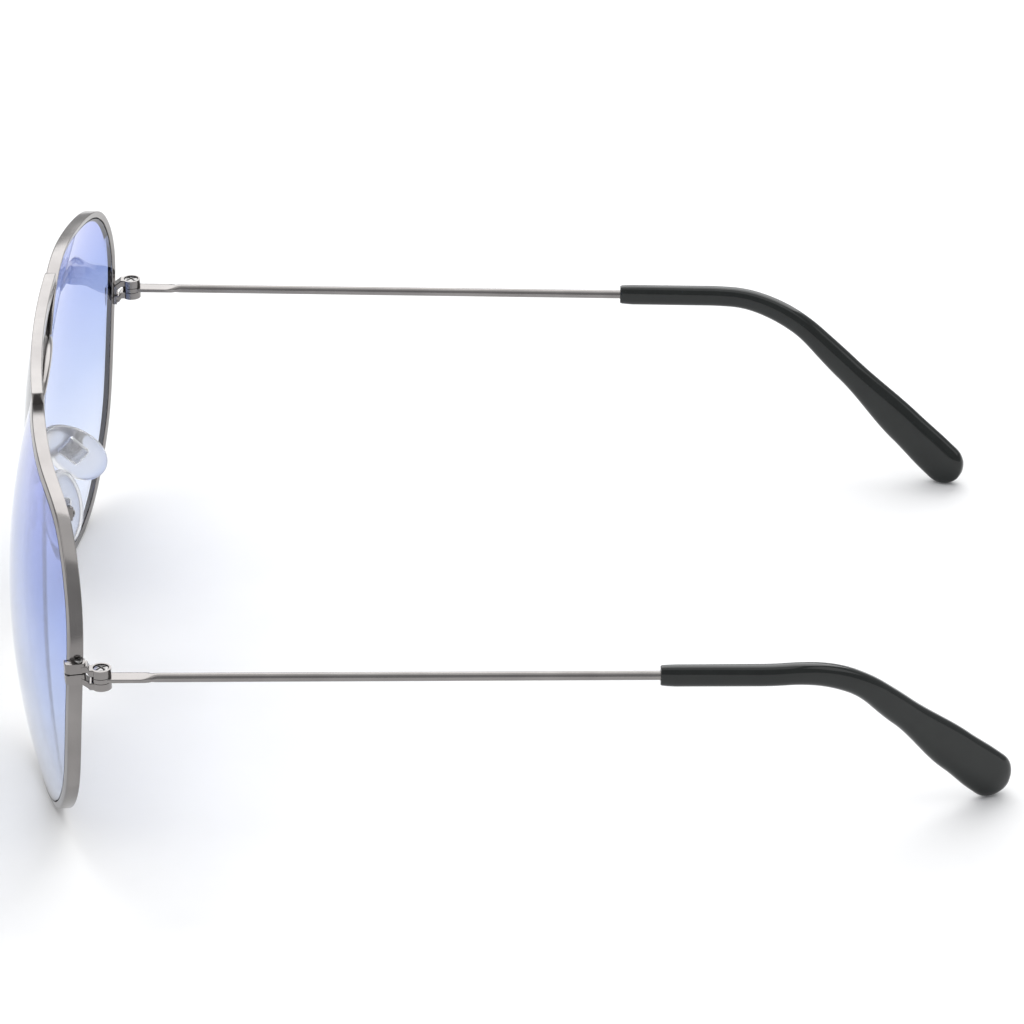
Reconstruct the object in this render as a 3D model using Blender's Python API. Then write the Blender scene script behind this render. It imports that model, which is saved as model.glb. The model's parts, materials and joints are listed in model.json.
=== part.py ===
"""Aviator sunglasses with a double bridge, standing open on a table.

The lenses face -Y, the temples run towards +Y, +Z is up, and the wearer's left is +X. The origin is on the
table, under the middle of the object's box. Left and right are built by the same functions, mirrored about
X = 0, and differ only in how they were adjusted: see the constants that are given per side.

Every position is first worked out in the hinge frame: X = 0 between the lenses, Y = 0 on the hinge axes and
Z = 0 just under the temples' eyes. The empties then set that frame on the table.
"""

import math

import bmesh
import bpy
import numpy as np
from mathutils import Matrix, Vector

MM = 0.001
SIDES = (("left", 1), ("right", -1))

# Lens and eyewire
LENS_CENTRE = Vector((34.7, -12.95, -5.5)) * MM
LENS_RADIUS = 95.0 * MM
LENS_THICKNESS = 1.8 * MM
WRAP = math.radians(8.5)
FRONT_TILT = math.radians(1.0)
LENS_OUTLINE_MM = (
    (28.9, 0.3), (27.5, 14.0), (19.2, 23.2), (4.5, 26.1), (-12.0, 26.2), (-23.8, 21.7), (-28.0, 11.8),
    (-27.6, 1.2), (-23.6, -8.9), (-14.0, -18.6), (-1.0, -24.1), (13.3, -22.7), (24.5, -13.7),
)
RIM_WIDTH = 1.9 * MM
RIM_OUT = 0.9 * MM
RIM_IN = 0.1 * MM
RIM_CORNER = 0.2 * MM
GROOVE_DEPTH = 0.5 * MM
GROOVE_LIP = 0.15 * MM
LENS_FIT = 0.18 * MM
LENS_EDGE = 0.12 * MM
RIM_STATIONS = 64

# Joints between brazed pieces. The seats are cut over these shares of the rim's length, either way.
BRAZE_GAP = 0.06 * MM
BLOCK_SEAT = 0.03
LONG_SEAT = 0.05

# Closing block and hinge. The left block was brazed on a little higher than the right one.
HINGE_SPAN = 128.0 * MM
KNUCKLE_RADIUS = 1.4 * MM
HINGE_TOP = 2.0 * MM
HINGE_BOTTOM = -1.05 * MM
EYE_HEIGHT = 0.64 * MM
EYE_MIDDLE = 0.4 * MM
EYE_PLAY = 0.08 * MM
BLOCK_LEVELS = {"left": 1.45 * MM, "right": -0.5 * MM}
BLOCK_HEIGHT = 3.1 * MM
BLOCK_IN = 0.5 * MM
BLOCK_OUT = 2.3 * MM
BLOCK_DEPTH = 2.9 * MM
BLOCK_BACK = -0.4 * MM
BLOCK_CORNER = 0.6 * MM
ARM_WIDTH = 1.9 * MM
ARM_THICKNESS = 1.05 * MM
ARM_END = -1.0 * MM
ARM_LEVELLING = 0.2 * MM
ARM_CLEAR = 0.2 * MM
SPLIT = 0.16 * MM
SCREW_FIT = 0.08 * MM
SCREW_SOFT = 0.12 * MM
HINGE_SCREW_RADIUS = 0.5 * MM
HINGE_HEAD_RADIUS = 1.05 * MM
HINGE_HEAD_HEIGHT = 0.4 * MM
RIM_SCREW_RADIUS = 0.32 * MM
RIM_SCREW_OUT = 1.55 * MM
RIM_SCREW_BACK = 0.5 * MM
RIM_HEAD_RADIUS = 0.55 * MM
RIM_HEAD_HEIGHT = 0.3 * MM
SLOT_SPAN = 1.6
SLOT_WIDTH = 0.28 * MM
SLOT_DEPTH = 0.18 * MM
SLOT_TURN = math.radians(40.0)

# Temples. The wearer's right one is bent a little less at the ear and further inwards.
TEMPLE_LENGTHS = {"left": 137.3 * MM, "right": 140.2 * MM}
TEMPLE_SPLAY = math.radians(1.0)
TEMPLE_TILT = math.radians(1.7)
BEND_START = 94.0 * MM
BEND_LENGTH = 15.0 * MM
BEND_ANGLES = {"left": math.radians(43.0), "right": math.radians(39.6)}
INWARD_START = 90.0 * MM
INWARD_LENGTH = 8.0 * MM
INWARD_ANGLES = {"left": math.radians(16.0), "right": math.radians(18.5)}
WIRE_DIAMETER = 1.3 * MM
STRIP_WIDTH = 2.3 * MM
STRIP_STEP = 0.04 * MM
STRIP_START = 0.75 * MM
STRIP_END = 5.2 * MM
STRIP_BLEND = 2.6 * MM
STRIP_POWER = 7.0
TIP_START = 76.5 * MM
CORE_END = 123.0 * MM
CORE_FIT = 0.12 * MM
TIP_HEIGHTS = ((0.0, 2.9), (0.03, 3.1), (0.28, 3.1), (0.45, 3.4), (0.62, 4.3), (0.82, 6.3), (0.92, 6.8))
TIP_WIDTHS = ((0.0, 2.1), (0.03, 2.3), (0.3, 2.5), (0.6, 2.9), (0.9, 3.0))
TIP_ROUND = 3.3 * MM
TIP_CHAMFER = 0.35 * MM
TIP_MOUTH = 0.3 * MM
TIP_DROP = 0.16
TIP_POWER = 2.5
TIP_BLUNT = 0.35

# Brow bar and lower bridge
BAR_REACH = 20.6 * MM
BAR_WIDTH = 1.65 * MM
BAR_HEIGHT = 1.9 * MM
BAR_SEAT = 0.1 * MM
BAR_BOW = 0.85 * MM
BAR_CORNER = 0.14 * MM
BRIDGE_LEVEL = 22.0 * MM
BRIDGE_RISE = 2.8 * MM
BRIDGE_BOW = -1.0 * MM
BRIDGE_WIDTH = 1.4 * MM
BRIDGE_HEIGHT = 1.3 * MM
BRIDGE_SINK = 0.8
BRIDGE_POWER = 3.0

# Nose pads
PAD_PIVOTS = {"left": Vector((10.3, -7.5, -1.4)) * MM, "right": Vector((10.3, -7.3, -0.4)) * MM}
PAD_LENGTH = 12.2 * MM
PAD_WIDTH = 7.2 * MM
PAD_THICKNESS = 2.3 * MM
PAD_FLARE = 0.12
PAD_PROFILE = ((0.78, 0.0), (0.93, 0.14), (1.0, 0.38), (0.97, 0.62), (0.86, 0.82), (0.62, 0.96))
PAD_SPREAD = math.radians(14.0)
PAD_LEANS = {"left": math.radians(-4.0), "right": math.radians(42.0)}
PAD_SPLAYS = {"left": math.radians(-20.0), "right": math.radians(8.0)}
BOX_ACROSS = 2.4 * MM
BOX_ALONG = 2.1 * MM
BOX_DEEP = 1.6 * MM
BOX_WALL = 0.4 * MM
LUG_FIT = 0.12 * MM
ROCK_GAP = 0.28 * MM
INSERT_LENGTH = 3.8 * MM
INSERT_WIDTH = 2.8 * MM
INSERT_DEPTH = 0.8 * MM
INSERT_CORNER = 0.3 * MM
LUG_CORNER = 0.1 * MM
BOX_CORNER = 0.15 * MM
INSERT_FIT = 0.1 * MM
PAD_SCREW_RADIUS = 0.26 * MM
PAD_HEAD_RADIUS = 0.6 * MM
PAD_HEAD_HEIGHT = 0.3 * MM
ARM_DIAMETER = 0.85 * MM
ARM_SINK = 0.45
ARM_LEAD_OUT = 0.5 * MM
ARM_LEAD_IN = 0.6 * MM
ARM_ROLL = Vector((0.31, 0.2, 0.93))
ARM_LEVELS = {"left": 8.6 * MM, "right": 3.0 * MM}
ARM_LOOPS_MM = {
    "left": ((-1.8, -3.6, 4.7), (0.2, -2.9, 4.0), (2.0, -1.4, 2.4), (2.3, -0.1, 0.8)),
    "right": (
        (-3.2, -4.0, -2.7), (-1.2, -3.8, -2.8), (1.2, -2.8, -2.1), (2.4, -1.2, -0.9), (2.2, -0.35, -0.05),
    ),
}


# ---------------------------------------------------------------- materials


def make_material(name, colour, roughness, metallic=0.0, alpha=1.0):
    material = bpy.data.materials.new(name)
    material.use_nodes = True
    shader = material.node_tree.nodes["Principled BSDF"]
    shader.inputs["Base Color"].default_value = (*colour, 1.0)
    shader.inputs["Roughness"].default_value = roughness
    shader.inputs["Metallic"].default_value = metallic
    shader.inputs["Alpha"].default_value = alpha
    material.diffuse_color = (*colour, alpha)
    return material


# ---------------------------------------------------------------- objects


def add_object(name, mesh_source, material, parent):
    """An object from a bmesh, smooth where it is round, under an empty whose frame its points are in."""
    mesh = bpy.data.meshes.new(name)
    bmesh.ops.recalc_face_normals(mesh_source, faces=mesh_source.faces)
    mesh_source.to_mesh(mesh)
    mesh_source.free()
    mesh.shade_smooth()
    mesh.set_sharp_from_angle(angle=math.radians(35.0))
    obj = bpy.data.objects.new(name, mesh)
    bpy.context.scene.collection.objects.link(obj)
    obj.parent = parent
    if material:
        mesh.materials.append(material)
    return obj


def add_empty(name, matrix):
    empty = bpy.data.objects.new(name, None)
    empty.matrix_world = matrix
    empty.empty_display_size = 5 * MM
    bpy.context.scene.collection.objects.link(empty)
    return empty


def combine(obj, operation, tool_name, tool_source):
    """A Boolean of obj with a helper solid, which stays in the scene as a wire guide."""
    tool = add_object(tool_name, tool_source, None, obj.parent)
    tool.hide_render = True
    tool.display_type = "WIRE"
    modifier = obj.modifiers.new(tool_name, "BOOLEAN")
    modifier.operation = operation
    modifier.solver = "EXACT"
    modifier.object = tool


# ---------------------------------------------------------------- solids


def loft(rings, closed=False):
    """A solid through rings of points. Its ends are capped, unless the last ring joins the first."""
    solid = bmesh.new()
    rows = [[solid.verts.new(point) for point in ring] for ring in rings]
    following = rows[1:] + rows[:1] if closed else rows[1:]
    for here, there in zip(rows, following):
        for i in range(len(here)):
            j = (i + 1) % len(here)
            solid.faces.new((here[i], here[j], there[j], there[i]))
    if not closed:
        solid.faces.new(rows[0])
        solid.faces.new(rows[-1])
    return solid


def domed(rings, first_pole, last_pole):
    """A solid through rings of points, closed by a fan to a pole at each end."""
    solid = bmesh.new()
    rows = [[solid.verts.new(point) for point in ring] for ring in rings]
    for here, there in zip(rows, rows[1:]):
        for i in range(len(here)):
            j = (i + 1) % len(here)
            solid.faces.new((here[i], here[j], there[j], there[i]))
    for pole, row in ((first_pole, rows[0]), (last_pole, rows[-1])):
        tip = solid.verts.new(pole)
        for i in range(len(row)):
            solid.faces.new((tip, row[i], row[(i + 1) % len(row)]))
    return solid


def prism(outline, low, high):
    """An upright solid on a plan outline of (x, y)."""
    return loft([[Vector((x, y, z)) for x, y in outline] for z in (low, high)])


def turned(profile, matrix, segments=20):
    """A solid of revolution about the local Z axis, from (radius, height) pairs, set in place by a matrix."""
    rings = []
    for radius, height in profile:
        ring = []
        for i in range(segments):
            angle = 2 * math.pi * i / segments
            ring.append(matrix @ Vector((radius * math.cos(angle), radius * math.sin(angle), height)))
        rings.append(ring)
    return loft(rings)


def box(size, matrix, corner=0.0):
    """A box about the matrix's origin, with its edges chamfered where a corner is given."""
    solid = bmesh.new()
    bmesh.ops.create_cube(solid, size=1.0)
    bmesh.ops.scale(solid, vec=size, verts=solid.verts)
    if corner:
        bmesh.ops.bevel(solid, geom=solid.edges[:], offset=corner, segments=2, profile=0.5, affect="EDGES")
    bmesh.ops.transform(solid, matrix=matrix, verts=solid.verts)
    return solid


def superellipse(width, height, power, count):
    """Points of a rounded section as (across, up)."""
    points = []
    for i in range(count):
        angle = 2 * math.pi * (i + 0.5) / count
        c, s = math.cos(angle), math.sin(angle)
        points.append((
            0.5 * width * math.copysign(abs(c) ** (2 / power), c),
            0.5 * height * math.copysign(abs(s) ** (2 / power), s),
        ))
    return points


def smooth_curve(points, count, closed=False):
    """Points at even lengths along a Catmull-Rom curve through the given ones, as an array."""
    points = np.array(points, float)
    if closed:
        padded = np.vstack([points[-1], points, points[:2]])
    else:
        padded = np.vstack([2 * points[0] - points[1], points, 2 * points[-1] - points[-2]])
    dense = []
    for p0, p1, p2, p3 in zip(padded, padded[1:], padded[2:], padded[3:]):
        knots = np.cumsum([0.0] + [np.linalg.norm(b - a) ** 0.5 for a, b in ((p0, p1), (p1, p2), (p2, p3))])
        for t in np.linspace(knots[1], knots[2], 24, endpoint=False):
            a1 = p0 + (p1 - p0) * (t - knots[0]) / (knots[1] - knots[0])
            a2 = p1 + (p2 - p1) * (t - knots[1]) / (knots[2] - knots[1])
            a3 = p2 + (p3 - p2) * (t - knots[2]) / (knots[3] - knots[2])
            b1 = a1 + (a2 - a1) * (t - knots[0]) / (knots[2] - knots[0])
            b2 = a2 + (a3 - a2) * (t - knots[1]) / (knots[3] - knots[1])
            dense.append(b1 + (b2 - b1) * (t - knots[1]) / (knots[2] - knots[1]))
    dense.append(points[0] if closed else points[-1])
    dense = np.array(dense)
    length = np.concatenate([[0.0], np.cumsum(np.linalg.norm(np.diff(dense, axis=0), axis=1))])
    wanted = np.linspace(0.0, length[-1], count, endpoint=not closed)
    return np.stack([np.interp(wanted, length, dense[:, k]) for k in range(dense.shape[1])], axis=1)


def tube(path, section, up=Vector((0, 0, 1))):
    """A solid that carries a section of (across, up) points along a path."""
    rings = []
    for i, point in enumerate(path):
        along = (path[min(i + 1, len(path) - 1)] - path[max(i - 1, 0)]).normalized()
        across = along.cross(up).normalized()
        upward = across.cross(along)
        rings.append([point + across * a + upward * b for a, b in section])
    return loft(rings)


# ---------------------------------------------------------------- the front's geometry


def mirrored(point, sign):
    return Vector((sign * point[0], point[1], point[2]))


def front_point(across, up, depth, sign):
    """A point of the front: across and up in the lens's plane, and depth behind the lens's middle surface."""
    sag = LENS_RADIUS - math.sqrt(LENS_RADIUS**2 - across**2 - up**2)
    turn = Matrix.Rotation(-FRONT_TILT, 3, "X") @ Matrix.Rotation(WRAP, 3, "Z")
    return mirrored(LENS_CENTRE + turn @ Vector((across, sag + depth, up)), sign)


OUTLINE_SAMPLES = 1440
OUTLINE = smooth_curve(np.array(LENS_OUTLINE_MM) * MM, OUTLINE_SAMPLES, closed=True)


def outline_at(share, offset=0.0):
    """(across, up) at a share of the lens outline's length from its temporal side, moved out by offset."""
    i = int(round(share * OUTLINE_SAMPLES)) % OUTLINE_SAMPLES
    step = OUTLINE[(i + 6) % OUTLINE_SAMPLES] - OUTLINE[i - 6]
    normal = np.array([step[1], -step[0]]) / np.linalg.norm(step)
    return OUTLINE[i] + offset * normal


def share_where(test):
    """The share of the outline's length where test is lowest."""
    return int(np.argmin([test(*point) for point in OUTLINE])) / OUTLINE_SAMPLES


def rim_section(swell=0.0, solid=False):
    """The eyewire's section as (out, depth): a band with a V groove for the lens, or its plain envelope."""
    out, half, soft = RIM_OUT + swell, 0.5 * RIM_WIDTH + swell, RIM_CORNER
    outer = [
        (-RIM_IN, half), (out - soft, half), (out, half - soft), (out, soft - half), (out - soft, -half),
    ]
    if solid:
        return outer + [(-RIM_IN, -half)]
    bottom = RIM_OUT - GROOVE_DEPTH
    return outer + [
        (-RIM_IN, -half), (-RIM_IN, GROOVE_LIP - half), (bottom, -GROOVE_LIP), (bottom, GROOVE_LIP),
        (-RIM_IN, half - GROOVE_LIP),
    ]


def rim_rings(shares, section, sign):
    rings = []
    for share in shares:
        ring = []
        for out, depth in section:
            across, up = outline_at(share, out)
            ring.append(front_point(across, up, depth, sign))
        rings.append(ring)
    return rings


def rim_envelope(middle, reach, sign):
    """A stretch of the rim's outer shape, a braze gap larger, to cut what is brazed onto it."""
    shares = np.linspace(middle - reach, middle + reach, 9) % 1.0
    return loft(rim_rings(shares, rim_section(BRAZE_GAP, solid=True), sign))


OUTLINE_STEPS = np.diff(np.vstack([OUTLINE, OUTLINE[:1]]), axis=0)
OUTLINE_LENGTH = float(np.linalg.norm(OUTLINE_STEPS, axis=1).sum())
BLOCK_SHARES = {
    side: share_where(lambda across, up: abs(LENS_CENTRE.z + up - level) - 1e-3 * across / MM)
    for side, level in BLOCK_LEVELS.items()
}
BAR_SHARE = share_where(lambda across, up: abs(LENS_CENTRE.x + across - BAR_REACH) - 1e-3 * up / MM)
BRIDGE_SHARE = share_where(lambda across, up: abs(up - BRIDGE_LEVEL) + 1e-3 * across / MM)
ARM_SHARES = {
    side: share_where(lambda across, up: abs(up - level) + 1e-3 * across / MM)
    for side, level in ARM_LEVELS.items()
}


# ---------------------------------------------------------------- the temple's geometry


def temple_path(side, lengths):
    """Points of a temple's centre line from its hinge axis, as on the left, at the given lengths along it."""
    steps = 1380
    step = TEMPLE_LENGTHS[side] / steps
    tilt = Matrix.Rotation(-TEMPLE_TILT, 3, "X")
    points = [Vector((0.0, 0.0, EYE_MIDDLE))]
    for i in range(steps):
        s = (i + 0.5) * step
        down = BEND_ANGLES[side] * min(max((s - BEND_START) / BEND_LENGTH, 0.0), 1.0)
        turned_in = min(max((s - INWARD_START) / INWARD_LENGTH, 0.0), 1.0)
        inward = TEMPLE_SPLAY + INWARD_ANGLES[side] * turned_in
        heading = Vector((
            -math.sin(inward), math.cos(inward) * math.cos(down), -math.sin(down) * math.cos(inward),
        ))
        points.append(points[-1] + tilt @ heading * step)
    return [points[min(int(round(s / step)), steps)] for s in lengths]


def temple_rings(side, lengths, sections, sign):
    """Rings along the temple, each square to it, from sections of (across, up) points."""
    nudge = 0.4 * MM
    before = temple_path(side, [max(s - nudge, 0.0) for s in lengths])
    after = temple_path(side, [min(s + nudge, TEMPLE_LENGTHS[side]) for s in lengths])
    rings = []
    for point, start, end, section in zip(temple_path(side, lengths), before, after, sections):
        along = (end - start).normalized()
        across = along.cross(Vector((0, 0, 1))).normalized()
        upward = across.cross(along)
        rings.append([mirrored(point + across * a + upward * b, sign) for a, b in section])
    return rings


# ---------------------------------------------------------------- where the hinge frame stands


def blended(table, share):
    """A value read off a table of (share, value) with an eased curve between its rows."""
    for (s0, v0), (s1, v1) in zip(table, table[1:]):
        if share <= s1:
            t = (share - s0) / (s1 - s0)
            return v0 + (v1 - v0) * t * t * (3 - 2 * t)
    return table[-1][1]


def tip_rings(side, sign):
    """The temple tip's outer rings, from its hinge axis."""
    length = TEMPLE_LENGTHS[side] - TIP_START
    body_end = TEMPLE_LENGTHS[side] - TIP_ROUND
    lengths = [TIP_START, TIP_START + TIP_MOUTH]
    lengths += list(np.linspace(TIP_START + 2 * MM, INWARD_START, 4))
    lengths += list(np.linspace(INWARD_START, body_end, 17)[1:])
    lengths += [body_end + TIP_ROUND * math.sin(math.radians(angle)) for angle in (25, 45, 62, 76, 87)]
    sections = []
    for s in lengths:
        share = (s - TIP_START) / length
        width = blended(TIP_WIDTHS, share) * MM
        height = blended(TIP_HEIGHTS, share) * MM
        drop = TIP_DROP * (height - TIP_HEIGHTS[0][1] * MM)
        if s == TIP_START:
            width, height = width - TIP_CHAMFER, height - TIP_CHAMFER
        shrink = math.sqrt(1 - max((s - body_end) / TIP_ROUND, 0.0) ** 2)
        narrow = TIP_BLUNT + (1 - TIP_BLUNT) * shrink
        section = superellipse(width * narrow, height * shrink, TIP_POWER, 18)
        sections.append([(across, up - drop) for across, up in section])
    return temple_rings(side, lengths, sections, sign)


def standing():
    """The hinge frame's place on the table: leant so that rims and tips touch it, and its box centred."""
    hinge = Vector((0.5 * HINGE_SPAN, 0, 0))
    outer = [outline_at(i / 720, RIM_OUT) for i in range(720)]
    rim = [front_point(*place, side * 0.5 * RIM_WIDTH, 1) for place in outer for side in (-1, 1)]
    tip = [hinge + point for side, _ in SIDES for ring in tip_rings(side, 1) for point in ring]
    lens = [
        front_point(across, up, -0.5 * LENS_THICKNESS, 1)
        for across in np.linspace(-20 * MM, 20 * MM, 41)
        for up in np.linspace(-12 * MM, 20 * MM, 33)
    ]
    lean = Matrix.Identity(4)
    for _ in range(3):
        low_rim = min((lean @ point for point in rim), key=lambda point: point.z)
        low_tip = min((lean @ point for point in tip), key=lambda point: point.z)
        angle = math.atan2(low_tip.z - low_rim.z, low_tip.y - low_rim.y)
        lean = Matrix.Rotation(-angle, 4, "X") @ lean
    lowest = min((lean @ point).z for point in rim)
    foremost = min((lean @ point).y for point in lens)
    rearmost = max((lean @ point).y for point in tip)
    return Matrix.Translation((0.0, -0.5 * (foremost + rearmost), -lowest)) @ lean


# ---------------------------------------------------------------- front


def add_eyewire(side, sign, parent, material):
    """The rim: one grooved wire round the lens, whose two ends meet inside the closing block."""
    half_gap = 0.5 * SPLIT / OUTLINE_LENGTH
    first = BLOCK_SHARES[side] + half_gap
    shares = [(first + (1 - 2 * half_gap) * i / RIM_STATIONS) % 1.0 for i in range(RIM_STATIONS + 1)]
    add_object(f"eyewire_{side}", loft(rim_rings(shares, rim_section(), sign)), material, parent)


def add_lens(side, sign, parent, material):
    """A spherical lens with a V edge that sits in the rim's groove."""
    half = 0.5 * LENS_THICKNESS
    face_edge = -RIM_IN - LENS_FIT
    tip = RIM_OUT - GROOVE_DEPTH - LENS_FIT
    shares = [(BLOCK_SHARES[side] + i / RIM_STATIONS) % 1.0 for i in range(RIM_STATIONS)]
    middle = OUTLINE.mean(axis=0)

    def ring(offset, depth, scale=1.0):
        points = [middle + scale * (outline_at(share, offset) - middle) for share in shares]
        return [front_point(across, up, depth, sign) for across, up in points]

    rings = [ring(face_edge, -half, scale) for scale in (0.3, 0.6, 0.85)]
    rings += [ring(face_edge, -half), ring(tip, -0.5 * LENS_EDGE)]
    rings += [ring(tip, 0.5 * LENS_EDGE), ring(face_edge, half)]
    rings += [ring(face_edge, half, scale) for scale in (0.85, 0.6, 0.3)]
    poles = [front_point(*middle, depth, sign) for depth in (-half, half)]
    add_object(f"lens_{side}", domed(rings, *poles), material, parent)


def block_point(side, out, back):
    """A plan position on a closing block, as on the left: outwards and backwards of the rim at its height."""
    across, up = outline_at(BLOCK_SHARES[side])
    slope = across / math.sqrt(LENS_RADIUS**2 - across**2 - up**2)
    origin = front_point(across, up, slope * 0.5 * (BLOCK_IN + BLOCK_OUT) + BLOCK_BACK, 1)
    c, s = math.cos(WRAP), math.sin(WRAP)
    return origin.x + c * out - s * back, origin.y + s * out + c * back


def block_plan(side):
    """The closing block seen from above, with its outer corners cut."""
    half, cut = 0.5 * BLOCK_DEPTH, BLOCK_CORNER
    corners = (
        (BLOCK_IN, -half), (BLOCK_OUT - cut, -half), (BLOCK_OUT, cut - half), (BLOCK_OUT, half - cut),
        (BLOCK_OUT - cut, half), (BLOCK_IN, half),
    )
    return [block_point(side, out, back) for out, back in corners]


def knuckle_plan(count=28):
    turns = [2 * math.pi * i / count for i in range(count)]
    return [(0.5 * HINGE_SPAN + KNUCKLE_RADIUS * math.cos(t), KNUCKLE_RADIUS * math.sin(t)) for t in turns]


def mirror_plan(plan, sign):
    return [(sign * x, y) for x, y in plan]


def arm_solid(side, sign, block_low, knuckle_low, height, limit):
    """The arm from the closing block to a knuckle: a bar that slopes between them, once clear of the block."""
    middle = 0.5 * (BLOCK_IN + BLOCK_OUT)
    axis = 0.5 * HINGE_SPAN
    start = block_point(side, middle, 0.5 * BLOCK_DEPTH - BLOCK_CORNER)
    leave = block_point(side, middle, 0.5 * BLOCK_DEPTH + ARM_CLEAR)
    level = (axis, -KNUCKLE_RADIUS - ARM_LEVELLING)
    share = (leave[1] - start[1]) / (level[1] - start[1])
    leave_low = limit(block_low, block_low + share * (knuckle_low - block_low))
    stations = (
        (start, block_low), (leave, leave_low), (level, knuckle_low), ((axis, ARM_END), knuckle_low),
    )
    rings = []
    for (x, y), low in stations:
        corners = ((-0.5, 0), (0.5, 0), (0.5, height), (-0.5, height))
        rings.append([mirrored((x + ARM_WIDTH * a, y, low + rise), sign) for a, rise in corners])
    return loft(rings)


def add_end_piece(side, sign, parent, material, upper):
    """Half of the split closing block, with the arm and the knuckle that grow out of it."""
    reach = 0.5 * EYE_HEIGHT + EYE_PLAY
    middle = BLOCK_LEVELS[side]
    block_top, block_bottom = middle + 0.5 * BLOCK_HEIGHT, middle - 0.5 * BLOCK_HEIGHT
    if upper:
        knuckle = (EYE_MIDDLE + reach, HINGE_TOP)
        block = (middle + 0.5 * SPLIT, block_top)
        arm_start = max(min(HINGE_TOP, block_top) - ARM_THICKNESS, block[0])
    else:
        knuckle = (HINGE_BOTTOM, EYE_MIDDLE - reach)
        block = (block_bottom, middle - 0.5 * SPLIT)
        arm_start = min(max(HINGE_BOTTOM, block_bottom), block[1] - ARM_THICKNESS)
    arm_end = knuckle[1] - ARM_THICKNESS if upper else knuckle[0]
    name = f"end_piece_{'upper' if upper else 'lower'}_{side}"
    piece = add_object(name, prism(mirror_plan(knuckle_plan(), sign), *knuckle), material, parent)
    combine(piece, "UNION", f"{name}_block", prism(mirror_plan(block_plan(side), sign), *block))
    arm = arm_solid(side, sign, arm_start, arm_end, ARM_THICKNESS, max if upper else min)
    combine(piece, "UNION", f"{name}_arm", arm)
    combine(piece, "DIFFERENCE", f"{name}_rim_seat", rim_envelope(BLOCK_SHARES[side], BLOCK_SEAT, sign))
    hinge = Matrix.Translation((sign * 0.5 * HINGE_SPAN, 0, 0))
    bore = HINGE_SCREW_RADIUS + SCREW_FIT
    seat = HINGE_HEAD_RADIUS + SCREW_FIT
    floor = HINGE_TOP - HINGE_HEAD_HEIGHT - SCREW_FIT
    past = 1.0 * MM
    profile = ((bore, HINGE_BOTTOM - past), (bore, floor), (seat, floor), (seat, HINGE_TOP + past))
    combine(piece, "DIFFERENCE", f"{name}_hinge_bore", turned(profile, hinge))
    screw = rim_screw_place(side, sign)
    bore = RIM_SCREW_RADIUS + SCREW_FIT
    profile = ((bore, -BLOCK_HEIGHT - past), (bore, past))
    combine(piece, "DIFFERENCE", f"{name}_rim_bore", turned(profile, screw, segments=12))


def rim_screw_place(side, sign):
    """The closing screw's frame, at the top of its block."""
    x, y = block_point(side, RIM_SCREW_OUT, RIM_SCREW_BACK)
    return Matrix.Translation((sign * x, y, BLOCK_LEVELS[side] + 0.5 * BLOCK_HEIGHT))


def cross_slot(matrix, radius):
    """Two crossed bars, which cut a cross recess into a screw head whose top is the matrix's XY plane."""
    length = SLOT_SPAN * radius
    long_bar = box((length, SLOT_WIDTH, 2 * SLOT_DEPTH), matrix)
    cross_bar = box((SLOT_WIDTH, length, 2 * SLOT_DEPTH), matrix)
    return long_bar, cross_bar


def add_screw(name, matrix, parent, material, shank, head, crossed=False):
    """A screw down the local Z axis from its head's top. shank and head are (radius, length)."""
    soft = SCREW_SOFT
    profile = (
        (shank[0] - 0.5 * soft, -head[1] - shank[1]), (shank[0], soft - head[1] - shank[1]),
        (shank[0], -head[1]), (head[0], -head[1]), (head[0], -soft), (head[0] - soft, 0),
    )
    screw = add_object(name, turned(profile, matrix), material, parent)
    long_bar, cross_bar = cross_slot(matrix @ Matrix.Rotation(SLOT_TURN, 4, "Z"), head[0])
    combine(screw, "DIFFERENCE", f"{name}_slot", long_bar)
    if crossed:
        combine(screw, "DIFFERENCE", f"{name}_cross", cross_bar)
    else:
        cross_bar.free()


def add_front_screws(side, sign, parent, material):
    hinge = Matrix.Translation((sign * 0.5 * HINGE_SPAN, 0, HINGE_TOP))
    shank = (HINGE_SCREW_RADIUS, HINGE_TOP - HINGE_BOTTOM - HINGE_HEAD_HEIGHT)
    head = (HINGE_HEAD_RADIUS, HINGE_HEAD_HEIGHT)
    add_screw(f"hinge_screw_{side}", hinge, parent, material, shank, head, crossed=True)
    top = rim_screw_place(side, sign) @ Matrix.Translation((0, 0, SCREW_FIT + RIM_HEAD_HEIGHT))
    add_screw(
        f"rim_screw_{side}", top, parent, material,
        (RIM_SCREW_RADIUS, BLOCK_HEIGHT), (RIM_HEAD_RADIUS, RIM_HEAD_HEIGHT),
    )


def add_brow_bar(parent, material):
    """The flat bar across the tops of both rims, bowed forward and seated on them at its ends."""
    seat = front_point(*outline_at(BAR_SHARE, RIM_OUT), 0.0, 1)
    middle = seat.z - BAR_SEAT + 0.5 * BAR_HEIGHT
    path = []
    for share in np.linspace(-1, 1, 17):
        path.append(Vector((BAR_REACH * share, seat.y - BAR_BOW * (1 - share**2), middle)))
    w, h, c = 0.5 * BAR_WIDTH, 0.5 * BAR_HEIGHT, BAR_CORNER
    section = (
        (w - c, h), (c - w, h), (-w, h - c), (-w, c - h), (c - w, -h), (w - c, -h), (w, c - h), (w, h - c),
    )
    bar = add_object("brow_bar", tube(path, section), material, parent)
    for side, sign in SIDES:
        combine(bar, "DIFFERENCE", f"brow_bar_seat_{side}", rim_envelope(BAR_SHARE, LONG_SEAT, sign))


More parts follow.
